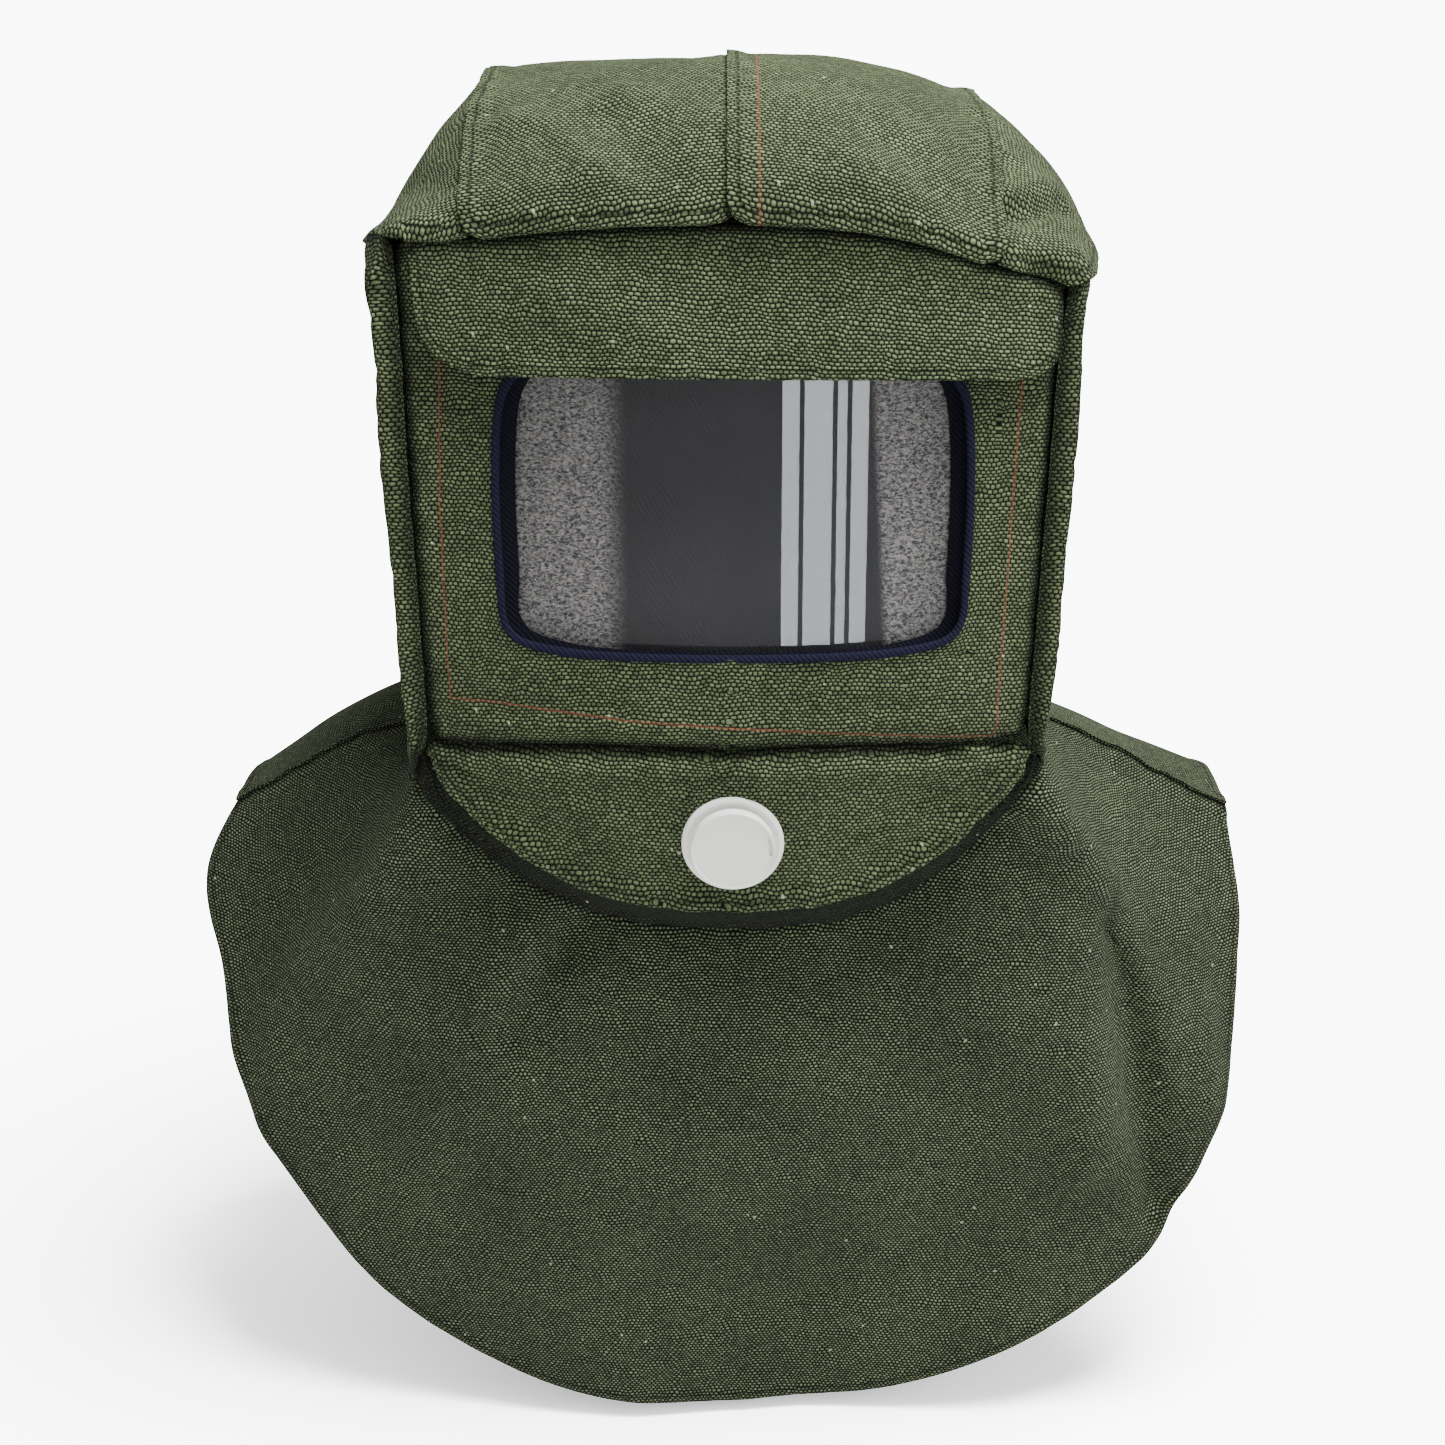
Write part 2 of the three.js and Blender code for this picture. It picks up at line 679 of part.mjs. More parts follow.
// Face with its window, the flap over it and the binding round the opening
const window_turns = evenly(0, window_stations, window_stations).map(stationTurn);
const windowed = { looped: true, outOf: outOfFace };
addSheet("face_panel", "canvas", facePoint, window_turns, evenly(0, 1, 3), windowed);
addSheet("brow_flap", "canvas", flapPoint, evenly(-1, 1, 16), evenly(0, 1, 6));

function windowPoint(turn, side_margin, end_margin, setback) {
  const { x, z } = windowEdge(turn, side_margin, end_margin);
  return new THREE.Vector3(x, faceDepth(x, z) + setback, z);
}

addWindowRing("window_binding", "binding", (turn) => {
  const inside = -binding_cloth - seam_gap;
  const front = -binding_cloth - lap_clearance;
  const rear = canvas_thickness + lap_clearance;
  return [
    windowPoint(turn, binding_width, binding_width, front),
    windowPoint(turn, inside, inside, front),
    windowPoint(turn, inside, inside, rear + binding_cloth),
    windowPoint(turn, binding_width, binding_width, rear + binding_cloth),
    windowPoint(turn, binding_width, binding_width, rear),
    windowPoint(turn, 0, 0, rear),
    windowPoint(turn, 0, 0, -lap_clearance),
    windowPoint(turn, binding_width, binding_width, -lap_clearance),
  ];
});

// Facing, pane and screen behind the opening
const facing_front = canvas_thickness + lap_clearance;
const facing_outer = binding_width + facing_cover;
addWindowRing("window_facing", "binding", (turn) => [
  windowPoint(turn, facing_outer, facing_outer, facing_front),
  windowPoint(turn, -facing_reach, -facing_end_reach, facing_front + facing_depth),
  windowPoint(turn, -facing_reach, -facing_end_reach, facing_front + facing_depth + binding_cloth),
  windowPoint(turn, facing_outer, facing_outer, facing_front + binding_cloth),
]);

// A plate that follows the face's bow at a setback, from its rim inward in rings.
function addWindowPlate(name, slot, side_margin, end_margin, setback, thickness) {
  const rings = [1, 0.7, 0.35];
  const points = [];
  const depths = [setback, setback + thickness];
  for (const depth of depths) {
    for (const ring of rings) {
      for (let station = 0; station < window_stations; station += 1) {
        const { x, z } = windowEdge(stationTurn(station), side_margin, end_margin);
        const [px, pz] = [x * ring, -window_drop + (z + window_drop) * ring];
        points.push(new THREE.Vector3(px, faceDepth(px, pz) + depth, pz));
      }
    }
    points.push(new THREE.Vector3(0, faceDepth(0, -window_drop) + depth, -window_drop));
  }
  const layer = rings.length * window_stations + 1;
  const triangles = [];
  for (let station = 0; station < window_stations; station += 1) {
    const next = (station + 1) % window_stations;
    for (let ring = 0; ring < rings.length - 1; ring += 1) {
      const [a, b] = [ring * window_stations + station, ring * window_stations + next];
      const [c, d] = [b + window_stations, a + window_stations];
      triangles.push([a, b, c], [a, c, d]);
      triangles.push([layer + a, layer + c, layer + b], [layer + a, layer + d, layer + c]);
    }
    const inmost = (rings.length - 1) * window_stations;
    triangles.push([inmost + station, inmost + next, layer - 1]);
    triangles.push([layer + inmost + next, layer + inmost + station, 2 * layer - 1]);
    triangles.push([station, layer + station, layer + next], [station, layer + next, next]);
  }
  return addSolid(name, slot, points, triangles);
}

const lens_setback = facing_front + facing_depth + binding_cloth + lap_clearance;
const lens_side = -facing_reach + lens_overlap;
addWindowPlate("window_lens", "pane", lens_side, lens_overlap, lens_setback, lens_thickness);
const screen_at = lens_setback + lens_thickness + lap_clearance;
addWindowPlate("window_screen", "screen", lens_side, lens_overlap, screen_at, screen_thickness);

// Chin with the hole for the valve's neck
const chin = addSheet("chin_panel", "canvas", chinPoint, evenly(-1, 1, 18), evenly(0, 1, 7));
addSheet("chin_band", "canvas", bandPoint, evenly(-1, 1, 18), evenly(0, 1, 3));

const wasm = await Module();
wasm.setup();

function toManifold(geometry) {
  const bare = geometry.clone();
  bare.deleteAttribute("normal");
  bare.deleteAttribute("uv");
  const merged = mergeVertices(bare, 1e-5);
  return new wasm.Manifold(
    new wasm.Mesh({
      numProp: 3,
      vertProperties: new Float32Array(merged.attributes.position.array),
      triVerts: new Uint32Array(merged.index.array),
    }),
  );
}

function cutFrom(mesh, tool) {
  const result = toManifold(mesh.geometry).subtract(toManifold(tool)).getMesh();
  const geometry = new THREE.BufferGeometry();
  geometry.setAttribute("position", new THREE.BufferAttribute(new Float32Array(result.vertProperties), 3));
  geometry.setIndex(new THREE.BufferAttribute(new Uint32Array(result.triVerts), 1));
  mesh.geometry = geometry;
}

const valve_turn = new THREE.Quaternion().setFromUnitVectors(new THREE.Vector3(0, 1, 0), valve_out);
const hole_radius = valve_neck_radius + lap_clearance;
const hole = new THREE.CylinderGeometry(hole_radius, hole_radius, valve_hole_depth, 32);
hole.applyQuaternion(valve_turn);
hole.translate(...valve_place.toArray());
cutFrom(chin, hole);

// Valve: heights along its axis start at the chin panel's outer face.
function addValvePart(name, profile) {
  const points = profile.map(([radius, height]) => new THREE.Vector2(radius, height));
  const mesh = new THREE.Mesh(new THREE.LatheGeometry(points, 36), paint("valve"));
  mesh.name = name;
  mesh.quaternion.copy(valve_turn);
  mesh.position.copy(valve_place);
  hood.add(mesh);
}

const flange_foot = lap_clearance;
const flange_top = flange_foot + valve_flange_thickness;
addValvePart("valve_seat", [
  [0, -valve_neck_length],
  [valve_neck_radius, -valve_neck_length],
  [valve_neck_radius, flange_foot],
  [valve_flange_radius, flange_foot],
  [valve_flange_radius, flange_top - valve_flange_round],
  [valve_flange_radius - valve_flange_round, flange_top],
  [0, flange_top],
]);

const cap_foot = flange_top + lap_clearance;
const cap_top = cap_foot + valve_cap_height;
addValvePart("valve_cap", [
  [0, cap_foot],
  [valve_cap_radius, cap_foot],
  [valve_cap_radius, cap_top - valve_cap_round],
  [valve_cap_radius - valve_cap_round, cap_top],
  [valve_cap_radius - valve_cap_rim, cap_top],
  [valve_cap_radius - valve_cap_rim - valve_cap_slope, cap_top - valve_cap_dish],
  [0, cap_top - valve_cap_dish],
]);

// Cape in two halves that meet on the shoulders
const draped = { outOf: outOfChest };
const shoulder = shoulder_seam_round;
addSheet("cape_front", "canvas", capePoint, evenly(-shoulder, shoulder, 36), evenly(0, 1, 13), draped);
const capeBackPoint = (u, v) => capePoint(u < 0 ? -1 - u : 1 - u, v);
const back_around = evenly(shoulder - 1, 1 - shoulder, 24);
addSheet("cape_back", "canvas", capeBackPoint, back_around, evenly(0, 1, 11), draped);

export default hood;
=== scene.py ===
# %% [markdown]
# # A canvas sandblasting hood
# The real hood is sewn from coarse green canvas: a rounded crown, side walls, a recessed face with a
# bowed window, a chin panel with a breathing valve, and a cape that lies over the shoulders.
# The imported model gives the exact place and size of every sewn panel. This lesson dresses each panel
# as cloth: it is rounded, lapped at the seams, creased, and woven by its material.

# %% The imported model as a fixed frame
import math

import bpy
import numpy as np
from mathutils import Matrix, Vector, kdtree, noise


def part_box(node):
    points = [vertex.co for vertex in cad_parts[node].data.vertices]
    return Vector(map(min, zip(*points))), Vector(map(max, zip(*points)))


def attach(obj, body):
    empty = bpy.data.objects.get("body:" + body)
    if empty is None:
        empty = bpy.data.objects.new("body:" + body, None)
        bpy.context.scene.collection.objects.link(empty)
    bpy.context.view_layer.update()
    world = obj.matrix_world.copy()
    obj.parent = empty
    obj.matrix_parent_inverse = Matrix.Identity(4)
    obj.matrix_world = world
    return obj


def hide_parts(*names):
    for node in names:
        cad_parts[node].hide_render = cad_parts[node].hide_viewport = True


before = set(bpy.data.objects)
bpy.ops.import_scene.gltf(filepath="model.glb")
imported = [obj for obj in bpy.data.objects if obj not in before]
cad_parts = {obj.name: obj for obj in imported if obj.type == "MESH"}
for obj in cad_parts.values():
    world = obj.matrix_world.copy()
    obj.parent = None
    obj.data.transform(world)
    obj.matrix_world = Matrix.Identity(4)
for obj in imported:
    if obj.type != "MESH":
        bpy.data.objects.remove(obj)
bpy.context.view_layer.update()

MM = 0.001
print("packed nodes:", len(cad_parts))

# %% [markdown]
# ## Camera
# The photograph looks down a little at the front of the hood from about a metre away, so the camera
# is placed first and everything else is judged through it.

# %% Camera at the photograph's place
lens_mm, camera_pitch = 47.06, 14
camera_place = Vector((-4.725, -974.75, -91.37))
camera_data = bpy.data.cameras.new("front_camera")
camera_data.sensor_width = 36
camera_data.lens = lens_mm
camera = bpy.data.objects.new("front_camera", camera_data)
camera.location = camera_place * MM
camera.rotation_euler = (math.radians(90 - camera_pitch), 0, 0)
bpy.context.scene.collection.objects.link(camera)
bpy.context.scene.camera = camera
print("camera at", [round(c, 3) for c in camera.location])

# %% [markdown]
# ## Small tools
# Colours are picked as screen values and turned to linear light. One function adds any shader node
# with its settings and links, and short ones on top of it give back the result of the nodes that every
# finish here is made from. The last keeps the habit of working on one selected object at a time.

# %% Colour, node and selection helpers
def linear(hex_colour):
    """A screen colour such as #5d6446 as linear red, green, blue and full alpha."""
    parts = [int(hex_colour[k:k + 2], 16) / 255 for k in (1, 3, 5)]
    return [p / 12.92 if p <= 0.04045 else ((p + 0.055) / 1.055) ** 2.4 for p in parts] + [1]


def add(tree, kind, settings=None, inputs=None):
    """Add a shader node, set its properties, and fill or link its inputs."""
    node = tree.nodes.new("ShaderNode" + kind)
    for name, value in (settings or {}).items():
        setattr(node, name, value)
    for key, value in (inputs or {}).items():
        if isinstance(value, bpy.types.NodeSocket):
            tree.links.new(value, node.inputs[key])
        else:
            node.inputs[key].default_value = value
    return node


def maths(tree, operation, *values):
    """The result of a math node from its numbers or links."""
    return add(tree, "Math", {"operation": operation}, dict(enumerate(values))).outputs[0]


def scaled(tree, vector, factor):
    """A vector or a colour times a number or link."""
    return add(tree, "VectorMath", {"operation": "SCALE"}, {0: vector, "Scale": factor}).outputs[0]


def blend(tree, share, first, last):
    """Two colours mixed by a share."""
    return add(tree, "Mix", {"data_type": "RGBA"}, {0: share, 6: first, 7: last}).outputs[2]


def ramp(tree, value, start, end, low=0.0, high=1.0, kind="SMOOTHSTEP"):
    """The range from start to end turned to low to high."""
    return add(tree, "MapRange", {"interpolation_type": kind},
               {0: value, 1: start, 2: end, 3: low, 4: high}).outputs[0]


def grain(tree, place, scale, detail):
    """Noise at a place."""
    return add(tree, "TexNoise", None, {"Vector": place, "Scale": scale, "Detail": detail}).outputs["Fac"]


def dress(tree, shader, colour, height, distance):
    """Link a colour to the shader, and a height as bumps of a distance in mm."""
    tree.links.new(colour, shader.inputs["Base Color"])
    bump = add(tree, "Bump", None, {"Height": height, "Distance": distance * MM})
    tree.links.new(bump.outputs[0], shader.inputs["Normal"])


def new_finish(name, **constants):
    """A material with its one shader. Numbers that are the same all over go straight on its sockets."""
    finish = bpy.data.materials.new(name)
    finish.use_nodes = True
    shader = finish.node_tree.nodes["Principled BSDF"]
    for key, value in constants.items():
        shader.inputs[key.replace("_", " ")].default_value = value
    return finish, finish.node_tree, shader


def select_only(piece):
    """Deselect everything, then select one piece and make it active."""
    bpy.ops.object.select_all(action="DESELECT")
    piece.select_set(True)
    bpy.context.view_layer.objects.active = piece


print("olive in linear light:", [round(c, 3) for c in linear("#5d6446")])

# %% [markdown]
# ## Heavy canvas
# The real cloth is a coarse cotton duck, dyed olive. Its fat yarns show as rounded beads in staggered
# rows, with dark gaps between them and a few pale specks of lint. Its weave follows each panel's own
# UV map, which is laid out in metres further on, so the beads keep one real size on every panel.
# Cotton scatters light softly, so it is very rough, with hardly any sheen. Staggered rows come from
# two sine waves, the upper one moved half a bead on every second row.

# %% Beads of the weave
weave_drift = 4.0
bead_roundness = 0.8
lint_share, lint_radius, lint_strength = 0.5, 0.05, 0.55
# The stitches' groove is darkened by painted shade, by the share given here.
stitch_from_edge, stitch_groove_shade, stitch_depth = 4.0, 0.55, 0.6
# How far from a sunk seam, and how dark, the painted shade (with some dust) makes the cloth.
seam_shade_reach, seam_darkest = 6.0, 0.25
bead_height, fuzz_height = 0.85, 0.3


def bead_rows(tree, place, across, along):
    """The rounded height of staggered beads, and a random value that is the same all over one bead."""
    wave = add(tree, "TexNoise", None, {"Vector": place, "Scale": 0.09, "Detail": 1})
    centred = add(tree, "VectorMath", {"operation": "SUBTRACT"},
                  {0: wave.outputs["Color"], 1: (0.5, 0.5, 0.5)})
    drift = scaled(tree, centred.outputs[0], weave_drift)
    wavy = add(tree, "VectorMath", {"operation": "ADD"}, {0: place, 1: drift})
    sides = add(tree, "SeparateXYZ", None, {0: wavy.outputs[0]})
    rows = maths(tree, "DIVIDE", sides.outputs["Y"], along)
    row = maths(tree, "FLOOR", rows)
    odd = maths(tree, "FLOORED_MODULO", row, 2)
    columns = maths(tree, "DIVIDE", sides.outputs["X"], across)
    shifted = maths(tree, "MULTIPLY_ADD", odd, 0.5, columns)
    column = maths(tree, "FLOOR", shifted)
    ridges = [maths(tree, "ABSOLUTE", maths(tree, "SINE", maths(tree, "MULTIPLY", count, math.pi)))
              for count in (shifted, rows)]
    bead = maths(tree, "POWER", maths(tree, "MULTIPLY", *ridges), bead_roundness)
    cell = add(tree, "CombineXYZ", None, {"X": column, "Y": row}).outputs[0]
    chance = add(tree, "TexWhiteNoise", {"noise_dimensions": "2D"}, {"Vector": cell})
    return bead, chance.outputs["Value"]


print("bead rows ready, stitches", stitch_from_edge, "mm from an edge")

# %% [markdown]
# ### Lint, stitches and worn seams
# Real canvas is never one even tone. Pale lint sticks to it, each stitched edge has a groove a few
# millimetres in that is darkened as painted shade, a red line is drawn on it, and where two panels dive
# into a seam the cloth is darkened as painted shade, with some dust.
# The groove, the line and the seams are read from distances in mm that the panels carry as attributes.

# %% Marks on the cloth
def marked_cloth(tree, place, toned, shade):
    """The toned cloth with lint, stitches, red line, and painted shade in the stitches' groove and the
    seams; and the stitches' groove.
    """
    dots = add(tree, "TexVoronoi", None, {"Vector": place, "Scale": 0.062})
    near = maths(tree, "LESS_THAN", dots.outputs["Distance"], lint_radius)
    pick = add(tree, "SeparateXYZ", None, {0: dots.outputs["Color"]})
    some = maths(tree, "GREATER_THAN", pick.outputs["X"], lint_share)
    lint = maths(tree, "MULTIPLY", maths(tree, "MULTIPLY", near, some), lint_strength)
    linted = blend(tree, lint, toned, linear("#c4cbae"))
    edge, chalk, seam = [add(tree, "Attribute", {"attribute_name": name}).outputs["Fac"]
                         for name in ("edge_mm", "chalk_mm", "seam_mm")]
    beside = maths(tree, "ABSOLUTE", maths(tree, "SUBTRACT", edge, stitch_from_edge))
    groove = ramp(tree, beside, 0.9, 0.1)
    # Painted shade darkens the stitches' groove.
    sewn = blend(tree, maths(tree, "MULTIPLY", groove, stitch_groove_shade), linted, linear(shade))
    line = ramp(tree, maths(tree, "ABSOLUTE", chalk), 0.75, 0.25, high=0.5)
    marked = blend(tree, line, sewn, linear("#7d4335"))
    # Painted shade, with some dust, darkens the cloth near sunk seams.
    return scaled(tree, marked, ramp(tree, seam, 0.5, seam_shade_reach, low=seam_darkest)), groove


print("marks ready, lint on", lint_share, "of its places")

# %% [markdown]
# ### The whole canvas
# The head is cut from one fat duck, and the cape from a finer one that shows more of its dark gaps. The
# band under the chin gets much darker colours, as painted shade under the chin. A bead's tone varies from
# yarn to yarn and in broad patches.
# Bump raises the beads by less than a millimetre and presses the stitches in.

# %% Canvas material
def canvas(name, yarn, shade, across, along, gap=0.15):
    """Woven duck: yarn and shade are its light and dark colours, across and along a bead's size in mm,
    and gap the share of a bead's height that lies in shade."""
    finish, tree, shader = new_finish(
        name, Roughness=0.95, Sheen_Weight=0.02, Sheen_Roughness=0.5, Specular_IOR_Level=0.08)
    uv = add(tree, "UVMap", {"uv_map": "cloth"})
    place = scaled(tree, uv.outputs[0], 1 / MM)
    bead, chance = bead_rows(tree, place, across, along)
    tone = ramp(tree, chance, 0, 1, 0.66, 1.34, "LINEAR")
    patch = ramp(tree, grain(tree, place, 0.013, 2), 0.3, 0.7, 0.82, 1.16, "LINEAR")
    weave = blend(tree, ramp(tree, bead, gap, gap + 0.65), linear(shade), linear(yarn))
    toned = scaled(tree, weave, maths(tree, "MULTIPLY", tone, patch))
    # The marks include painted shade in the stitches' groove and near sunk seams.
    marked_and_shaded, groove = marked_cloth(tree, place, toned, shade)
    fuzz = maths(tree, "MULTIPLY", grain(tree, place, 1.6, 0), fuzz_height)
    raised = maths(tree, "MULTIPLY_ADD", bead, bead_height, fuzz)
    dress(tree, shader, marked_and_shaded, maths(tree, "MULTIPLY_ADD", groove, -stitch_depth, raised), 1)
    return finish


head_canvas = canvas("olive_duck_canvas", "#5a6648", "#0b0f07", 2.55, 1.75)
cape_canvas = canvas("olive_duck_canvas_cape", "#626e52", "#060804", 2.15, 1.5, gap=0.28)
# The chin band's dark colours are painted shade, because the band lies in the shadow under the chin.
band_canvas = canvas("olive_duck_canvas_shaded", "#22281b", "#040503", 2.4, 1.7)
print("canvas nodes:", len(head_canvas.node_tree.nodes))

# %% [markdown]
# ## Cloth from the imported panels
# Each packed panel is a closed shell of thin cloth with a coarse net of faces. A copy of it becomes the
# cloth: its doubles are merged, its triangles joined to quads, its faces sorted into outer side, inner
# side and cut edge, and its UV map unrolled at real size with the weave's rows level.
# Subdivision then rounds it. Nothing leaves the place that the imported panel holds.

# %% Sorting a panel's faces into outer side, inner side and edge
head_core_low = Vector((-69.7, -60.8, -312.1)) * MM
head_core_high = Vector((69.7, 52.0, -132.0)) * MM
EDGE, OUTER, INNER = 0, 1, 2
edge_facing, gentle_fold, small_face = 0.2, 0.64, 1e-4
sharp_corner, seam_crease = 0.7, 0.75


def out_of_head(point):
    """The direction of the cloth's thickness: away from the middle of the head."""
    held = Vector([min(max(p, low), high) for p, low, high in zip(point, head_core_low, head_core_high)])
    return (point - held).normalized()


def sort_faces(piece):
    """Give each face the material index EDGE, OUTER or INNER."""
    mesh = piece.data
    if piece.name.startswith("cape"):
        sort_by_folding(mesh)
        return
    for face in mesh.polygons:
        out = Vector((0, -1, 0)) if piece.name.startswith("face") else out_of_head(face.center)
        facing = face.normal.dot(out)
        face.material_index = EDGE if abs(facing) < edge_facing else OUTER if facing > 0 else INNER


def faces_beside(mesh):
    """The faces on either side of each edge."""
    beside = {}
    for face in mesh.polygons:
        for key in face.edge_keys:
            beside.setdefault(key, []).append(face)
    return beside


def sort_by_folding(mesh):
    """Spread over gently folded edges from the outermost face, then from any other large face."""
    beside = faces_beside(mesh)
    for face in mesh.polygons:
        face.material_index = EDGE
    middle = Vector((0, 0.02, -0.6))
    start = max(mesh.polygons, key=lambda f: (f.center - middle).length if f.area > small_face else 0)
    for side, seed in ((OUTER, start), (INNER, None)):
        if seed is None:
            left = [f for f in mesh.polygons if f.material_index == EDGE and f.area > small_face]
            seed = max(left, key=lambda f: f.area)
        waiting = [seed.index]
        seed.material_index = side
        while waiting:
            face = mesh.polygons[waiting.pop()]
            for key in face.edge_keys:
                for near in beside[key]:
                    if near.material_index == EDGE and near.normal.dot(face.normal) > gentle_fold:
                        near.material_index = side
                        waiting.append(near.index)


def mark_edges(piece):
    """Where two kinds of face meet, the UV map is cut and the edge stays crisp, as at a sharp corner."""
    mesh = piece.data
    beside = faces_beside(mesh)
    sharp = mesh.attributes.new("crease_edge", "FLOAT", "EDGE")
    for edge in mesh.edges:
        first, last = beside[edge.key][0], beside[edge.key][-1]
        meets = first.material_index != last.material_index
        turned = first.normal.dot(last.normal) < sharp_corner
        edge.use_seam = meets
        if meets:
            sharp.data[edge.index].value = seam_crease
        elif turned and first.material_index == EDGE and piece.name.startswith("cape"):
            sharp.data[edge.index].value = 1


print("panel helpers ready")

# %% [markdown]
# ## Level weave
# Unwrap lays a panel flat, but at any size and turn, and it stretches a curved panel here and there.
# Real canvas hardly stretches, so each flat edge and diagonal is pulled towards its real length, again
# and again, until the beads keep one size all over.

# %% Evening out the stretch
relax_rounds = 1500


def relax(flat, faces, mesh, points):
    """Pull every flat edge and diagonal of these faces towards its real length, as cloth would."""
    corner_of = np.zeros(len(mesh.loops), dtype=int)
    mesh.loops.foreach_get("vertex_index", corner_of)
    pairs, loops = set(), []
    for face in faces:
        ring = list(face.vertices)
        loops += list(face.loop_indices)
        for index, one in enumerate(ring):
            pairs.update(tuple(sorted((one, other))) for other in ring[index + 1:])
    one, other = np.array(sorted(pairs)).T
    real = np.linalg.norm(points[one] - points[other], axis=1)
    shared = np.bincount(np.concatenate([one, other]), minlength=len(points)).clip(1)
    spot = np.zeros((len(points), 2))
    spot[corner_of[loops]] = flat[loops]
    for _ in range(relax_rounds):
        step = spot[other] - spot[one]
        length = np.linalg.norm(step, axis=1).clip(1e-9)
        pull = step * (0.5 * (1 - real / length))[:, None]
        for axis in (0, 1):
            gain = np.bincount(one, pull[:, axis], len(points))
            gain -= np.bincount(other, pull[:, axis], len(points))
            spot[:, axis] += gain / shared
    flat[loops] = spot[corner_of[loops]]
    length = np.linalg.norm(spot[other] - spot[one], axis=1)
    return float(np.mean(np.abs(length / real - 1)))


print("relaxing ready")

# %% [markdown]
# ### Real size and level rows
# Comparing the flat area with the real one gives the scale. Adding up the flat edges, each weighed by
# how far it runs across or up in the room, gives the turn that brings the weave's rows level.

# %% Unrolling a panel at real size
def unroll(piece, upright):
    """Unwrap all sides. Where upright is true the height runs along V, else the width runs along U."""
    select_only(piece)
    bpy.ops.object.mode_set(mode="EDIT")
    bpy.ops.mesh.select_all(action="SELECT")
    bpy.ops.uv.unwrap(method="ANGLE_BASED", margin=0.01)
    bpy.ops.uv.average_islands_scale()
    bpy.ops.object.mode_set(mode="OBJECT")
    mesh = piece.data
    layer = mesh.uv_layers.active
    layer.name = "cloth"
    flat = np.zeros(len(mesh.loops) * 2)
    layer.data.foreach_get("uv", flat)
    flat = flat.reshape(-1, 2)
    points = np.array([v.co[:] for v in mesh.vertices])
    sizes = []
    for kind in (EDGE, OUTER, INNER):
        loops, real_area, flat_area, lean = [], 0, 0, np.zeros(2)
        for face in mesh.polygons:
            if face.material_index != kind:
                continue
            ring = list(face.loop_indices)
            loops += ring
            real_area += face.area
            corner = flat[ring]
            after = np.roll(corner, -1, axis=0)
            flat_area += abs(np.sum(corner[:, 0] * after[:, 1] - corner[:, 1] * after[:, 0])) / 2
            body = points[[mesh.loops[k].vertex_index for k in ring]]
            step, real = after - corner, np.roll(body, -1, axis=0) - body
            lean += (step * real[:, [2 if upright else 0]]).sum(axis=0)
        scale = math.sqrt(real_area / max(flat_area, 1e-12))
        turn = (math.pi / 2 if upright else 0) - math.atan2(lean[1], lean[0])
        cos, sin = math.cos(turn), math.sin(turn)
        some = np.array(loops)
        flat[some] = flat[some] @ np.array([[cos, sin], [-sin, cos]]) * scale
        if kind != EDGE:
            faces = [f for f in mesh.polygons if f.material_index == kind]
            stretch = relax(flat, faces, mesh, points)
        if kind == OUTER:
            print(piece.name, "mean stretch left in the weave:", round(stretch, 3))
            flat[some] -= flat[some].min(axis=0)
            sizes = (flat[some].max(axis=0), real_area)
    layer.data.foreach_set("uv", flat.ravel())
    return sizes


print("unrolling ready")

# %% [markdown]
# ## One cloth panel
# The face and the chin have long, thin triangles round their holes, and subdivision would pinch there.
# Bisecting them along level and upright planes gives cells of one size first. The other panels have
# even nets, and only need a narrow ring of faces along their edges, so that the edge can be shaped
# apart from the middle. The crown's side panels are too narrow at their ends for such a ring.

# %% Making one cloth panel
cloth = {}
cut_size = {}
weld_distance = 0.002
join_angle = 1.2


def cut_into_cells(cell, low, high, merge):
    """Bisect the mesh that is being edited along planes a cell in mm apart, and merge the slivers left."""
    for axis in (0, 2):
        steps = int((high[axis] - low[axis]) / MM / cell)
        for step in range(1, steps + 1):
            at, facing = [0, 0, 0], [0, 0, 0]
            at[axis] = low[axis] + (high[axis] - low[axis]) * step / (steps + 1)
            facing[axis] = 1
            bpy.ops.mesh.select_all(action="SELECT")
            bpy.ops.mesh.bisect(plane_co=at, plane_no=facing)
    bpy.ops.mesh.select_all(action="SELECT")
    bpy.ops.mesh.remove_doubles(threshold=merge * MM)


def copy_of(node, suffix, cell=0, merge=0):
    """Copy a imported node, merge its doubles, cut it into cells if any, and join triangles to quads."""
    piece = bpy.data.objects.new(node + suffix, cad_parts[node].data.copy())
    bpy.context.scene.collection.objects.link(piece)
    select_only(piece)
    bpy.ops.object.mode_set(mode="EDIT")
    bpy.ops.mesh.select_all(action="SELECT")
    bpy.ops.mesh.remove_doubles(threshold=weld_distance * MM)
    if cell:
        cut_into_cells(cell, *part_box(node), merge)
    bpy.ops.mesh.tris_convert_to_quads(face_threshold=join_angle, shape_threshold=join_angle)
    bpy.ops.object.mode_set(mode="OBJECT")
    piece.data.materials.clear()
    return piece


def add_ring(piece, side, ring):
    """Inset all faces of one side as one region, so that a narrow ring runs along its edge."""
    bpy.ops.object.mode_set(mode="EDIT")
    bpy.ops.mesh.select_mode(type="FACE")
    bpy.ops.mesh.select_all(action="DESELECT")
    bpy.ops.object.mode_set(mode="OBJECT")
    for face in piece.data.polygons:
        face.select = face.material_index == side
    bpy.ops.object.mode_set(mode="EDIT")
    bpy.ops.mesh.inset(thickness=ring, depth=0, use_relative_offset=True)
    bpy.ops.object.mode_set(mode="OBJECT")


def round_off(piece, level):
    """Subdivide a piece smoothly."""
    rounder = piece.modifiers.new("round", "SUBSURF")
    rounder.levels = rounder.render_levels = level
    select_only(piece)
    bpy.ops.object.modifier_apply(modifier="round")
    bpy.ops.object.shade_smooth()


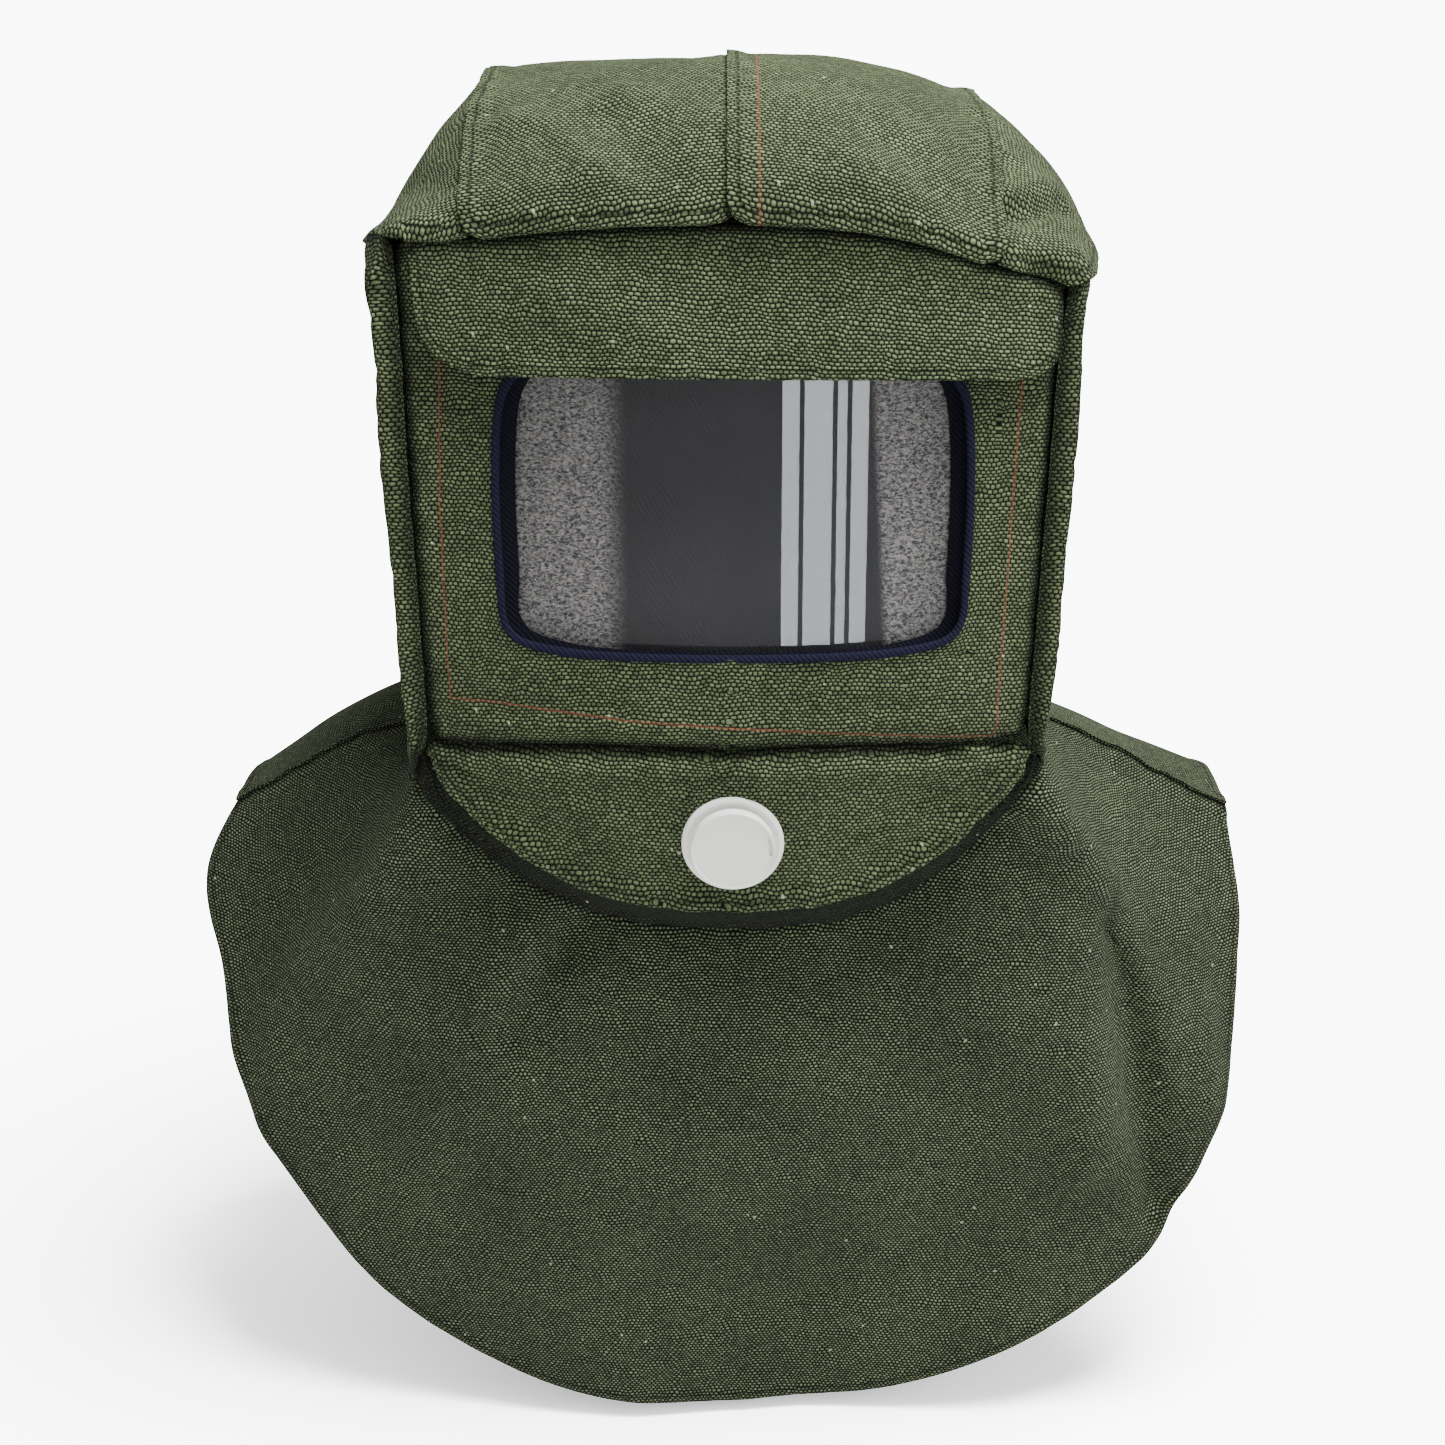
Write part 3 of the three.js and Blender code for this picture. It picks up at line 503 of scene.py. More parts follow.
def take_cloth(node, material, upright=False, ring=0.3, level=3, cell=0, merge=0):
    """Copy a packed panel, sort and unroll it, add a ring of faces along its edges, and round it."""
    piece = copy_of(node, "_cloth", cell, merge)
    for _ in range(3):
        piece.data.materials.append(material)
    sort_faces(piece)
    for side in (OUTER, INNER) if ring else ():
        add_ring(piece, side, ring)
    mark_edges(piece)
    cut_size[node] = unroll(piece, upright)
    round_off(piece, level)
    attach(piece, "root")
    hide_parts(node)
    cloth[node] = piece


head_panels = {
    "crown_centre_right": {}, "crown_centre_left": {}, "crown_side_right": {"ring": 0},
    "crown_side_left": {"ring": 0}, "brow_flap": {},
    "face_panel": {"level": 2, "cell": 10, "merge": weld_distance},
    "side_panel_right": {"upright": True}, "side_panel_left": {"upright": True}, "back_panel": {},
    "chin_panel": {"level": 2, "cell": 11, "merge": 1.1}, "chin_band": {},
}
for node, special in head_panels.items():
    take_cloth(node, band_canvas if node == "chin_band" else head_canvas, **special)
for node in ("cape_front", "cape_back"):
    take_cloth(node, cape_canvas)
for node, piece in cloth.items():
    faces = np.zeros(len(piece.data.polygons), dtype=int)
    piece.data.polygons.foreach_get("material_index", faces)
    flat_size = np.round(cut_size[node][0], 3)
    print(node, len(piece.data.polygons), "faces", np.bincount(faces), "cut to", flat_size)

# %% [markdown]
# ## How the panels meet
# A sewn edge is never a plain butt joint. Where one panel laps over the next, its folded edge stands
# proud and covers a few millimetres of its neighbour. Where two edges are sewn right sides together,
# both dive into the seam. A free edge is turned in and stitched, so it is thicker. To shape them, each
# edge point has to know which panel it meets, so the outlines are gathered first and compared.

# %% Outlines of the panels and their neighbours
def outline_of(piece):
    """Middles of the outer side's border edges in mm, each with the direction away from the cloth."""
    mesh = piece.data
    outer, other = {}, set()
    for face in mesh.polygons:
        if face.material_index == OUTER:
            for key in face.edge_keys:
                outer[key] = face.index
        elif face.material_index == EDGE:
            other.update(face.edge_keys)
    points, away = [], []
    for key in set(outer) & other:
        start, end = (mesh.vertices[k].co for k in key)
        middle = (start + end) / 2
        along = (end - start).normalized()
        out = middle - mesh.polygons[outer[key]].center
        out -= along * out.dot(along)
        points.append(middle / MM)
        away.append(out.normalized())
    return points, away


def tree_of(points):
    """A search tree over a list of points."""
    tree = kdtree.KDTree(len(points))
    for index, point in enumerate(points):
        tree.insert(point, index)
    tree.balance()
    return tree


outlines = {node: outline_of(piece) for node, piece in cloth.items()}
outline_trees = {node: tree_of(points) for node, (points, _) in outlines.items()}
meeting_reach = 7.0


def neighbours_of(node):
    """For each outline point, the name of the panel that it meets, or an empty name."""
    names = []
    for point in outlines[node][0]:
        found = [(tree.find(point)[2], other) for other, tree in outline_trees.items() if other != node]
        distance, other = min(found)
        names.append(other if distance < meeting_reach else "")
    return names


neighbours = {node: neighbours_of(node) for node in cloth}
for node, names in neighbours.items():
    print(node, "meets", {name or "nothing": names.count(name) for name in sorted(set(names))})

# %% [markdown]
# ## Shaping the cloth
# Every vertex knows its distance to the nearest outline point. Short curves of that distance give the
# lap, the sunk seam, the rolled ridge and the hem. Gathers run square to a seam, so their noise is read
# at the outline point and fades inward. Broad, slow noise gives the soft dents of worn canvas, and
# a table of creases and dents gives the ones that are seen at known places.

# %% Curves of the ways in which an edge is sewn
def fade(distance, reach):
    """One at the edge, zero at the reach, smooth between."""
    share = np.clip(1 - distance / reach, 0, 1)
    return share * share * (3 - 2 * share)


def hump(distance, middle, width):
    """A smooth hump over a distance."""
    return np.exp(-((distance - middle) / width) ** 2)


ways = {
    "over": lambda d: (2.3 * fade(d, 9) + 0.5 * hump(d, 5, 2.5), 3.2 * fade(d, 11)),
    "brow": lambda d: (0.9 * fade(d, 9) + 0.8 * hump(d, 6, 3), 2.6 * fade(d, 10)),
    "felled": lambda d: (1.3 * fade(d, 7) + 0.3 * hump(d, 5, 2), 1.2 * fade(d, 8)),
    "under": lambda d: (-0.9 * fade(d, 7), 1.6 * fade(d, 8)),
    "sunk": lambda d: (-1.2 * hump(d, 0, 2.5) + 0.8 * hump(d, 6, 3.5), 0 * d),
    "rolled": lambda d: (-2.6 * hump(d, 0, 2.6) + 2.2 * hump(d, 8, 5), 0 * d),
    "creased": lambda d: (-5.0 * hump(d, 0, 3.4) + 1.6 * hump(d, 10, 5), 0.6 * fade(d, 4)),
    "hem": lambda d: (0.6 * fade(np.maximum(d - 4, 0), 3), 0 * d),
    "plain": lambda d: (0 * d, 0 * d),
}
laps = [
    ("crown_centre_left", "crown_centre_right"), ("crown_centre_right", "crown_side_right"),
    ("crown_centre_left", "crown_side_left"),
    ("crown_side_right", "side_panel_right"), ("crown_side_left", "side_panel_left"),
    ("crown_centre_right", "back_panel"), ("crown_centre_left", "back_panel"),
    ("side_panel_right", "back_panel"), ("side_panel_left", "back_panel"),
    ("chin_panel", "chin_band"), ("chin_band", "cape_front"),
    ("side_panel_right", "cape_front"), ("side_panel_left", "cape_front"),
    ("side_panel_right", "cape_back"), ("side_panel_left", "cape_back"), ("back_panel", "cape_back"),
]


def way_of(node, other):
    """How this panel's edge is sewn where it meets the other."""
    if {node, other} == {"cape_front", "cape_back"}:
        return "felled" if node == "cape_back" else "under"
    if node.startswith("crown") and other in ("brow_flap", "face_panel"):
        return "brow"
    if node == "brow_flap" and other.startswith("crown"):
        return "under"
    if (node, other) in laps:
        return "over"
    if (other, node) in laps:
        return "under"
    if node.startswith("side_panel") and other == "face_panel":
        return "rolled"
    if {node, other} == {"face_panel", "chin_panel"}:
        return "creased"
    if other == "" and node in ("cape_front", "cape_back", "brow_flap"):
        return "hem"
    return "plain" if other == "" else "sunk"


stitched = ("over", "hem", "felled", "brow")
far_off = 60.0


def soften_ways(node):
    """Shares of the ways and edge directions, averaged along the outline so that corners blend."""
    points, away = outlines[node]
    tree, order = outline_trees[node], list(ways)
    plain = np.zeros((len(points), len(order)))
    for index, other in enumerate(neighbours[node]):
        plain[index, order.index(way_of(node, other))] = 1
    out = np.array(away)
    wide = [[k for _, k, _ in tree.find_range(point, 9)] for point in points]
    near = [[k for _, k, _ in tree.find_range(point, 6)] for point in points]
    mean = np.array([out[k].mean(axis=0) for k in near])
    mean *= np.linalg.norm(mean, axis=1)[:, None] ** 2
    return np.array([plain[k].mean(axis=0) for k in wide]), mean


print(len(ways), "ways to sew an edge,", len(laps), "laps")

# %% [markdown]
# ## Creases and dents
# The hood has stood up for its photograph with the folds of its packing still in it: two dents in the
# crown, a pinched fold beside the brow, slanted folds that fan out under the chin, and one long upright
# crease on the cape's left. Each is a smooth ridge or valley along a line.

# %% Creases and dents at known places
# Each crease runs from a start to an end in mm, with its reach to either side and its height.
creases = {
    "crown_centre_right": [
        ((-58, -117, -36), (-31, -145, -60), 13, -2.8), ((-99, -100, -33), (-61, -138, -56), 9, 2.2),
        ((-88, -115, -40), (-74, -133, -51), 7, -1.8), ((-50, -98, -22), (-14, -124, -36), 12, 1.8),
    ],
    "crown_centre_left": [
        ((70, -125, -45), (100, -140, -75), 12, -2.0), ((30, -110, -30), (60, -140, -60), 16, 1.5),
    ],
    "crown_side_left": [
        ((122, -120, -75), (150, -95, -72), 6, -4.0), ((122, -108, -65), (146, -88, -60), 8, 3.0),
        ((130, -138, -98), (152, -128, -100), 5, -3.0),
    ],
    "crown_side_right": [
        ((-130, -120, -60), (-150, -80, -60), 9, -2.5), ((-159, -124, -85), (-156, -133, -85), 7, -4.0),
    ],
    "side_panel_right": [((-161, -110, -95), (-158, -126, -108), 14, 3.0)],
    "cape_front": [
        ((-83, -115, -394), (-122, -121, -443), 13, 5.0), ((-75, -122, -405), (-108, -121, -460), 11, -5.0),
        ((-143, -121, -371), (-217, -84, -436), 15, 4.5), ((140, -124, -341), (186, -93, -391), 11, 5.0),
        ((128, -126, -356), (168, -108, -400), 10, -4.5), ((193, -97, -416), (222, -84, -569), 11, -9.0),
        ((170, -110, -395), (182, -104, -540), 16, 6.0), ((236, -60, -420), (246, -75, -520), 14, 4.5),
        ((-248, -74, -480), (-252, -74, -520), 9, -3.0), ((-45, -117, -444), (-89, -98, -618), 30, 4.0),
        ((81, -117, -434), (118, -96, -608), 32, -4.0),
    ],
    "chin_panel": [
        ((91, -141, -336), (110, -136, -345), 8, -2.0), ((-110, -136, -335), (-60, -141, -360), 10, -1.5),
    ],
    "brow_flap": [
        ((-90, -148, -110), (-30, -150, -125), 14, 1.5), ((40, -150, -120), (110, -146, -115), 12, -1.2),
    ],
}
# Broad noise: height and size in mm for soft dents, then for finer wrinkles.
slack = {"crown": (1.5, 75, 0.5, 26), "brow": (1.2, 60, 0.35, 22), "face": (0.8, 60, 0.3, 24),
         "side": (1.6, 70, 0.5, 26), "back": (1.6, 80, 0.5, 28), "chin": (1.0, 45, 0.5, 18),
         "cape": (2.6, 95, 0.8, 34)}
gather_height, gather_size, gather_reach = 0.8, 11, 16


def crease_height(places, lines):
    """Sum of all creases at each place."""
    total = np.zeros(len(places))
    for start, end, reach, height in lines:
        first, last = np.array(start, float), np.array(end, float)
        run = last - first
        share = np.clip((places - first) @ run / max(run @ run, 1e-9), 0, 1)
        off = np.linalg.norm(places - first - share[:, None] * run, axis=1)
        total += height * np.exp(-(off / reach) ** 2)
    return total


print("creases on", len(creases), "panels")

# %% [markdown]
# ## All of it on one panel
# Both sides of a panel move by the same amounts along the outer side's own direction, so the cloth
# keeps its thickness. The ways of two neighbouring edges are blended near a corner, which would
# otherwise tear or poke out. Slack is held back near a seam, since a seam stiffens the cloth.

# %% Moving the vertices
corner_places = np.array([(-92, -252), (92, -252)])
corner_pull, corner_reach = 5.0, 13.0


def out_normals(piece, places):
    """The outer side's own direction at every vertex, so that both sides move together."""
    mesh = piece.data
    some = [f for f in mesh.polygons if f.material_index == OUTER][::5]
    tree = tree_of([f.center / MM for f in some])
    normals = np.array([f.normal for f in some])
    near = np.array([[index for _, index, _ in tree.find_n(Vector(place), 5)] for place in places])
    mean = normals[near].sum(axis=1)
    return mean / np.linalg.norm(mean, axis=1)[:, None]


def places_of(mesh):
    """All vertices in mm."""
    places = np.zeros(len(mesh.vertices) * 3)
    mesh.vertices.foreach_get("co", places)
    return places.reshape(-1, 3) / MM


def square_up(places):
    """Draw places outwards at the window's lower corners, which are sharper than an oval's."""
    drawn = places.copy()
    for corner in corner_places:
        off = np.linalg.norm(places[:, [0, 2]] - corner, axis=1)
        pull = corner_pull * np.exp(-(off / corner_reach) ** 2)
        drawn[:, 0] += math.copysign(0.8, corner[0]) * pull
        drawn[:, 2] -= 0.5 * pull
    return drawn


def shape(node):
    """Sew, gather, crease and slacken one panel, and store its distance to the stitching."""
    piece = cloth[node]
    mesh = piece.data
    places = places_of(mesh)
    points, away = outlines[node]
    found = [outline_trees[node].find(Vector(place)) for place in places]
    nearest = np.array([index for _, index, _ in found])
    distance = np.array([far for _, _, far in found])
    names = np.array([way_of(node, other) for other in neighbours[node]])[nearest]
    shares, away = soften_ways(node)
    out = out_normals(piece, places)
    lift, reach = np.zeros(len(places)), np.zeros(len(places))
    for share, curve in zip(shares[nearest].T, ways.values()):
        raised, pushed = curve(distance)
        lift += share * raised
        reach += share * pushed
    rough, rough_size, fine, fine_size = slack[node.split("_")[0]]
    anchored = np.clip(distance / 14, 0.25, 1)
    free = np.where(names == "hem", 1.0, anchored)
    broad = np.array([noise.noise(Vector(p) / rough_size) for p in places])
    small = np.array([noise.noise(Vector(p) / fine_size + Vector((9, 4, 2))) for p in places])
    gathers = np.array([noise.noise(points[k] / gather_size) for k in range(len(points))])[nearest]
    sewn = np.where(np.isin(names, ("hem", "plain", "rolled")), 0.25, 1.0)
    lift += free * (2 * rough * broad + 2 * fine * small)
    lift += 2 * gather_height * gathers * sewn * hump(distance, 4, gather_reach * 0.6)
    lift += crease_height(places, creases.get(node, []))
    moved = places + out * lift[:, None] + away[nearest] * reach[:, None]
    if node == "face_panel":
        moved = square_up(moved)
    mesh.vertices.foreach_set("co", (moved * MM).ravel())
    mesh.update()
    edge = np.where(np.isin(names, stitched), distance, far_off)
    # Distance to sunk seams, where the canvas material paints shade.
    deep = np.where(np.isin(names, ("under", "sunk", "rolled", "creased")), distance, far_off)
    for name, values in (("edge_mm", edge), ("seam_mm", deep), ("chalk_mm", chalk_distance(node, places))):
        mesh.attributes.new(name, "FLOAT", "POINT").data.foreach_set("value", values)
    mesh.polygons.foreach_set("material_index", np.zeros(len(mesh.polygons), dtype=np.int32))
    while len(mesh.materials) > 1:
        mesh.materials.pop()
    return lift.min(), lift.max()


print("window corners drawn out by up to", corner_pull, "mm")

# %% [markdown]
# ## Thread and chalk lines
# A thin dull red line is drawn on the real face around the window, and another runs down the crown
# beside its centre seam. A signed distance to each line is stored on the vertices, and the canvas
# material draws the line where that distance is zero.

# %% Distance to the red lines
crown_line = 11.0
window_line = np.array([
    (-128, -128), (-131, -198), (-130, -247), (-129, -289), (-106, -290), (-48, -297), (9, -300),
    (62, -304), (120, -307), (121, -285), (124, -216), (126, -161), (128, -130),
])


def chalk_distance(node, places):
    """Signed distance in mm to the red line on this panel, far away where there is none."""
    if node == "crown_centre_left":
        return np.where(places[:, 1] < 0, places[:, 0] - crown_line, far_off)
    if node != "face_panel":
        return np.full(len(places), far_off)
    spots = places[:, [0, 2]]
    best = np.full(len(spots), 1e9)
    inside = np.zeros(len(spots), dtype=bool)
    for first, last in zip(window_line, np.roll(window_line, -1, axis=0)):
        run = last - first
        share = np.clip((spots - first) @ run / (run @ run), 0, 1)
        best = np.minimum(best, np.linalg.norm(spots - first - share[:, None] * run, axis=1))
        crosses = (first[1] > spots[:, 1]) != (last[1] > spots[:, 1])
        across = first[0] + (spots[:, 1] - first[1]) / (run[1] if run[1] else 1e-9) * run[0]
        inside ^= crosses & (spots[:, 0] < across)
    return np.where(inside, -best, best)


for node in cloth:
    low, high = shape(node)
    print(node, "moved from", round(low, 1), "to", round(high, 1), "mm")

# %% [markdown]
# ## Navy twill on the window's edge
# The opening is bound with a navy cotton twill tape, and a strip of the same cloth faces its inside; that
# strip's twill is painted much darker, as painted shade inside the opening.
# Twill shows fine slanted ribs. Both rings are copies of the imported rings, rounded by subdivision.

# %% Twill material and the two rings
rib_spacing = 2.6


def navy_twill(name, low, high):
    """Diagonal ribs, drawn further apart than real ones so that they show, in two tones of navy."""
    finish, tree, shader = new_finish(name, Roughness=0.95, Specular_IOR_Level=0.1)
    place = scaled(tree, add(tree, "TexCoord").outputs["Object"], 1 / MM)
    axes = add(tree, "SeparateXYZ", None, {0: place})
    total = maths(tree, "ADD", axes.outputs["X"], axes.outputs["Z"])
    rib = maths(tree, "SINE", maths(tree, "MULTIPLY", total, 2 * math.pi / rib_spacing))
    mixed = maths(tree, "MULTIPLY_ADD", rib, 0.3, grain(tree, place, 0.9, 2))
    dress(tree, shader, blend(tree, mixed, linear(low), linear(high)), rib, 0.15)
    return finish


twill = navy_twill("navy_cotton_twill", "#090a14", "#1c1c32")
# The facing's darker copy of the twill is painted shade, because it sits in shadow inside the opening.
shaded_twill = navy_twill("navy_cotton_twill_painted_shade", "#040408", "#131320")


def take_ring(node, finish):
    """Copy a packed ring of the window, merge it and round its section."""
    piece = copy_of(node, "_twill")
    piece.data.materials.append(finish)
    round_off(piece, 2)
    piece.data.vertices.foreach_set("co", (square_up(places_of(piece.data)) * MM).ravel())
    piece.data.update()
    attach(piece, "root")
    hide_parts(node)
    return piece


binding = take_ring("window_binding", twill)
facing = take_ring("window_facing", shaded_twill)
print("binding and facing:", len(binding.data.polygons), len(facing.data.polygons), "faces")

# %% [markdown]
# ## Pane and screen
# The window is a clear plastic pane, bowed with the face, and a dark woven sheet shows behind it. Both
# start as a flat grid that is pushed out to the window's rounded outline and bent to the face's bow,
# then given their thickness.

# %% Bowed plates behind the opening
window_middle = -200.0
face_half, face_base, face_bow = 144.0, -132.0, 18.0
outline_power = 5


def bowed_plate(name, half_width, half_height, front, thickness, ripple=0.0):
    """A grid pushed out to a rounded outline, bent like the face, at a depth in mm behind it."""
    bpy.ops.object.select_all(action="DESELECT")
    bpy.ops.mesh.primitive_grid_add(x_subdivisions=96, y_subdivisions=64, size=2)
    piece = bpy.context.object
    piece.name = piece.data.name = name
    for vertex in piece.data.vertices:
        across, up = vertex.co.x, vertex.co.y
        rim = max(abs(across), abs(up))
        powers = [abs(part / (rim or 1)) ** outline_power for part in (across, up)]
        corner = sum(powers) ** (-1 / outline_power) if rim else 1
        x, z = half_width * across * corner, half_height * up * corner
        wave = noise.noise(Vector((x / 9, 0, z / 13))) + 0.5 * noise.noise(Vector((x / 4, 5, z / 5)))
        y = face_base - face_bow * (1 - (x / face_half) ** 2) + front + ripple * wave
        vertex.co = Vector((x, y, window_middle + z)) * MM
    select_only(piece)
    wall = piece.modifiers.new("thickness", "SOLIDIFY")
    wall.thickness = thickness * MM
    wall.offset = -1
    bpy.ops.object.modifier_apply(modifier="thickness")
    bpy.ops.object.mode_set(mode="EDIT")
    bpy.ops.mesh.select_all(action="SELECT")
    bpy.ops.mesh.normals_make_consistent(inside=False)
    bpy.ops.object.mode_set(mode="OBJECT")
    bpy.ops.object.shade_smooth_by_angle(angle=math.radians(40))
    return piece


pane = bowed_plate("clear_pane", 101, 72, 11.6, 1.2)
screen = bowed_plate("woven_screen", 101, 72, 13.6, 0.8, ripple=0.3)
for piece, node, slot in ((pane, "window_lens", "pane"), (screen, "window_screen", "screen")):
    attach(piece, "root")
    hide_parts(node)
    low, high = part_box(node)
    print(piece.name, "packed from", np.round(low, 4), "to", np.round(high, 4))

# %% [markdown]
# ### Clear plastic and dark weave
# The pane is polycarbonate, smooth and nearly clear, so it mostly shows what it mirrors. The screen is
# a dark weave whose threads run slantwise. At both sides its material paints a silvery, crumpled painted
# reflection of the studio's light, with noise that is drawn out upwards.

# %% Clear plastic and the woven screen's finish
clear, *_ = new_finish("clear_polycarbonate", Base_Color=linear("#101216"), Roughness=0.0, IOR=1.58,
                       Alpha=0.2, Specular_IOR_Level=0.8)
thread_spacing = 2.4


def screen_weave():
    """Slanted dark threads in clouded tones, with a crumpled, silvery painted reflection at each side."""
    finish, tree, shader = new_finish("dark_woven_screen", Roughness=0.5, Metallic=0.2)
    place = scaled(tree, add(tree, "TexCoord").outputs["Object"], 1 / MM)
    axes = add(tree, "SeparateXYZ", None, {0: place})
    x, z = axes.outputs["X"], axes.outputs["Z"]
    # left and right mark the screen's sides, where a painted reflection of the studio's light is laid on.
    left = ramp(tree, x, -46, -62)
    right = ramp(tree, maths(tree, "MULTIPLY_ADD", z, 0.06, x), 51, 56)
    drawn = add(tree, "Mapping", None, {"Vector": place, "Scale": (0.6, 0.3, 1.0)})
    crumple = add(tree, "TexNoise", None, {"Vector": drawn.outputs[0], "Scale": 1, "Detail": 3,
                                           "Roughness": 0.65, "Distortion": 0.8}).outputs["Fac"]
    crumpled = ramp(tree, crumple, 0.4, 0.62, kind="LINEAR")
    # The silvery, crumpled sides are a painted reflection of the studio's light, in #c0bcb9.
    painted_reflection = maths(tree, "MULTIPLY", maths(tree, "ADD", left, right), crumpled)
    slant = maths(tree, "MULTIPLY_ADD", z, 0.6, x)
    thread = maths(tree, "SINE", maths(tree, "MULTIPLY", slant, 2 * math.pi / thread_spacing))
    clouded = maths(tree, "MULTIPLY_ADD", thread, 0.3, grain(tree, place, 0.022, 2))
    dark = blend(tree, clouded, linear("#0e0d10"), linear("#37363b"))
    dress(tree, shader, blend(tree, painted_reflection, dark, linear("#c0bcb9")), crumple, 0.6)
    return finish


pane.data.materials.append(clear)
screen.data.materials.append(screen_weave())
print("pane and screen finished")

# %% [markdown]
# ## Breathing valve
# The exhalation valve is moulded from white plastic: a round flange seated on the chin, and a thicker
# cap with a shallow dish, two thin curved slots at its sides and two small notches near its foot.
# Both are turned shapes. A plane merged to one point is drawn out corner by corner to the profile, and
# the profile is spun about the valve's own axis.

# %% Spinning a turned part
valve_place = Vector((0, -144.0, -355))
valve_tilt = math.radians(9)


def spun(name, profile, steps):
    """Spin a profile of radius and height in mm about the valve's axis, closed at both poles."""
    bpy.ops.object.select_all(action="DESELECT")
    bpy.ops.mesh.primitive_plane_add(size=1)
    piece = bpy.context.object
    piece.name = piece.data.name = name
    bpy.ops.object.mode_set(mode="EDIT")
    bpy.ops.mesh.select_mode(type="VERT")
    bpy.ops.mesh.select_all(action="SELECT")
    bpy.ops.mesh.merge(type="CENTER")
    corners = [Vector((radius, 0, height)) * MM for radius, height in profile]
    bpy.ops.transform.translate(value=corners[0])
    for first, last in zip(corners, corners[1:]):
        bpy.ops.mesh.extrude_vertices_move(TRANSFORM_OT_translate={"value": last - first})
    bpy.ops.mesh.select_all(action="SELECT")
    bpy.ops.mesh.spin(steps=steps, angle=2 * math.pi, center=(0, 0, 0), axis=(0, 0, 1))
    bpy.ops.mesh.select_all(action="SELECT")
    bpy.ops.mesh.remove_doubles(threshold=0.01 * MM)
    bpy.ops.mesh.normals_make_consistent(inside=False)
    bpy.ops.object.mode_set(mode="OBJECT")
    return piece


def seat_on_chin(piece):
    """Turn the spun part's axis forward and put its foot on the chin."""
    piece.rotation_euler = (math.radians(90) + valve_tilt, 0, 0)
    piece.location = valve_place * MM
    select_only(piece)
    bpy.ops.object.transform_apply(location=True, rotation=True, scale=True)
    bpy.ops.object.shade_smooth_by_angle(angle=math.radians(35))


seat = spun("valve_flange", [
    (0, -7), (13.8, -7), (14.8, -6.6), (15, -6), (15, 0.4), (22.9, 0.4), (23.5, 0.7), (23.6, 1.2),
    (23.6, 2.4), (23.3, 3.0), (22.6, 3.4), (21.2, 3.4), (20.8, 3.1), (0, 3.1),
], 120)
cap = spun("valve_cap_disc", [
    (0, 3.8), (19.9, 3.8), (20.3, 4.1), (20.4, 4.6), (20.4, 10.6), (20.1, 11.4), (19.4, 11.8), (18.6, 11.8),
    (18.0, 11.5), (17.6, 11.1), (16.4, 11.0), (9, 10.9), (0, 10.9),
], 120)
print("valve spun:", len(seat.data.polygons), "and", len(cap.data.polygons), "faces")

# %% [markdown]
# ### Slots and notches
# The slots lie in the flat ring just inside the cap's rim. The faces of that ring are picked by their
# angle and radius, narrowed with an inset and pushed down. The notches are picked on the cap's wall.

# %% Cutting slots and notches into the cap
def press_in(piece, chosen, depth, thickness):
    """Inset the chosen faces as one region and push them in by a depth in mm."""
    select_only(piece)
    for face in piece.data.polygons:
        face.select = chosen(face)
    bpy.ops.object.mode_set(mode="EDIT")
    bpy.ops.mesh.select_mode(type="FACE")
    bpy.ops.mesh.inset(thickness=thickness * MM, depth=0)
    bpy.ops.mesh.inset(thickness=0.05 * MM, depth=-depth * MM)
    bpy.ops.object.mode_set(mode="OBJECT")


def turn_from(face, middle):
    """Degrees about the spin axis between a face and a middle."""
    angle = math.degrees(math.atan2(face.center.y, face.center.x))
    return abs((angle - middle + 180) % 360 - 180)


def on_side_slot(face, middle, half):
    """True for faces of the flat ring inside the rim that lie within a slot's half angle."""
    flat_ring = 16.4 < face.center.xy.length / MM < 17.8 and face.normal.z > 0.5
    return turn_from(face, middle) < half and flat_ring


def on_notch(face, middle):
    """True for faces of the cap's wall that lie within a notch's half angle."""
    wall = face.center.xy.length / MM > 20.2 and abs(face.normal.z) < 0.3
    return turn_from(face, middle) < 5 and wall


press_in(cap, lambda face: on_side_slot(face, 168, 17), 1.4, 0.12)
press_in(cap, lambda face: on_side_slot(face, 6, 15), 1.4, 0.12)
for middle in (231, 305):
    press_in(cap, lambda face: on_notch(face, middle), 1.2, 0.3)
white, white_tree, white_shader = new_finish("moulded_white_polypropylene", Roughness=0.42, IOR=1.49)
white_place = add(white_tree, "TexCoord").outputs["Object"]
white_tone = blend(white_tree, grain(white_tree, white_place, 60, 4), linear("#e4e2df"), linear("#f4f3f1"))
dress(white_tree, white_shader, white_tone, grain(white_tree, white_place, 900, 2), 0.05)
for piece, node in ((seat, "valve_seat"), (cap, "valve_cap")):
    piece.data.materials.append(white)
    seat_on_chin(piece)
    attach(piece, "root")
    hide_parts(node)
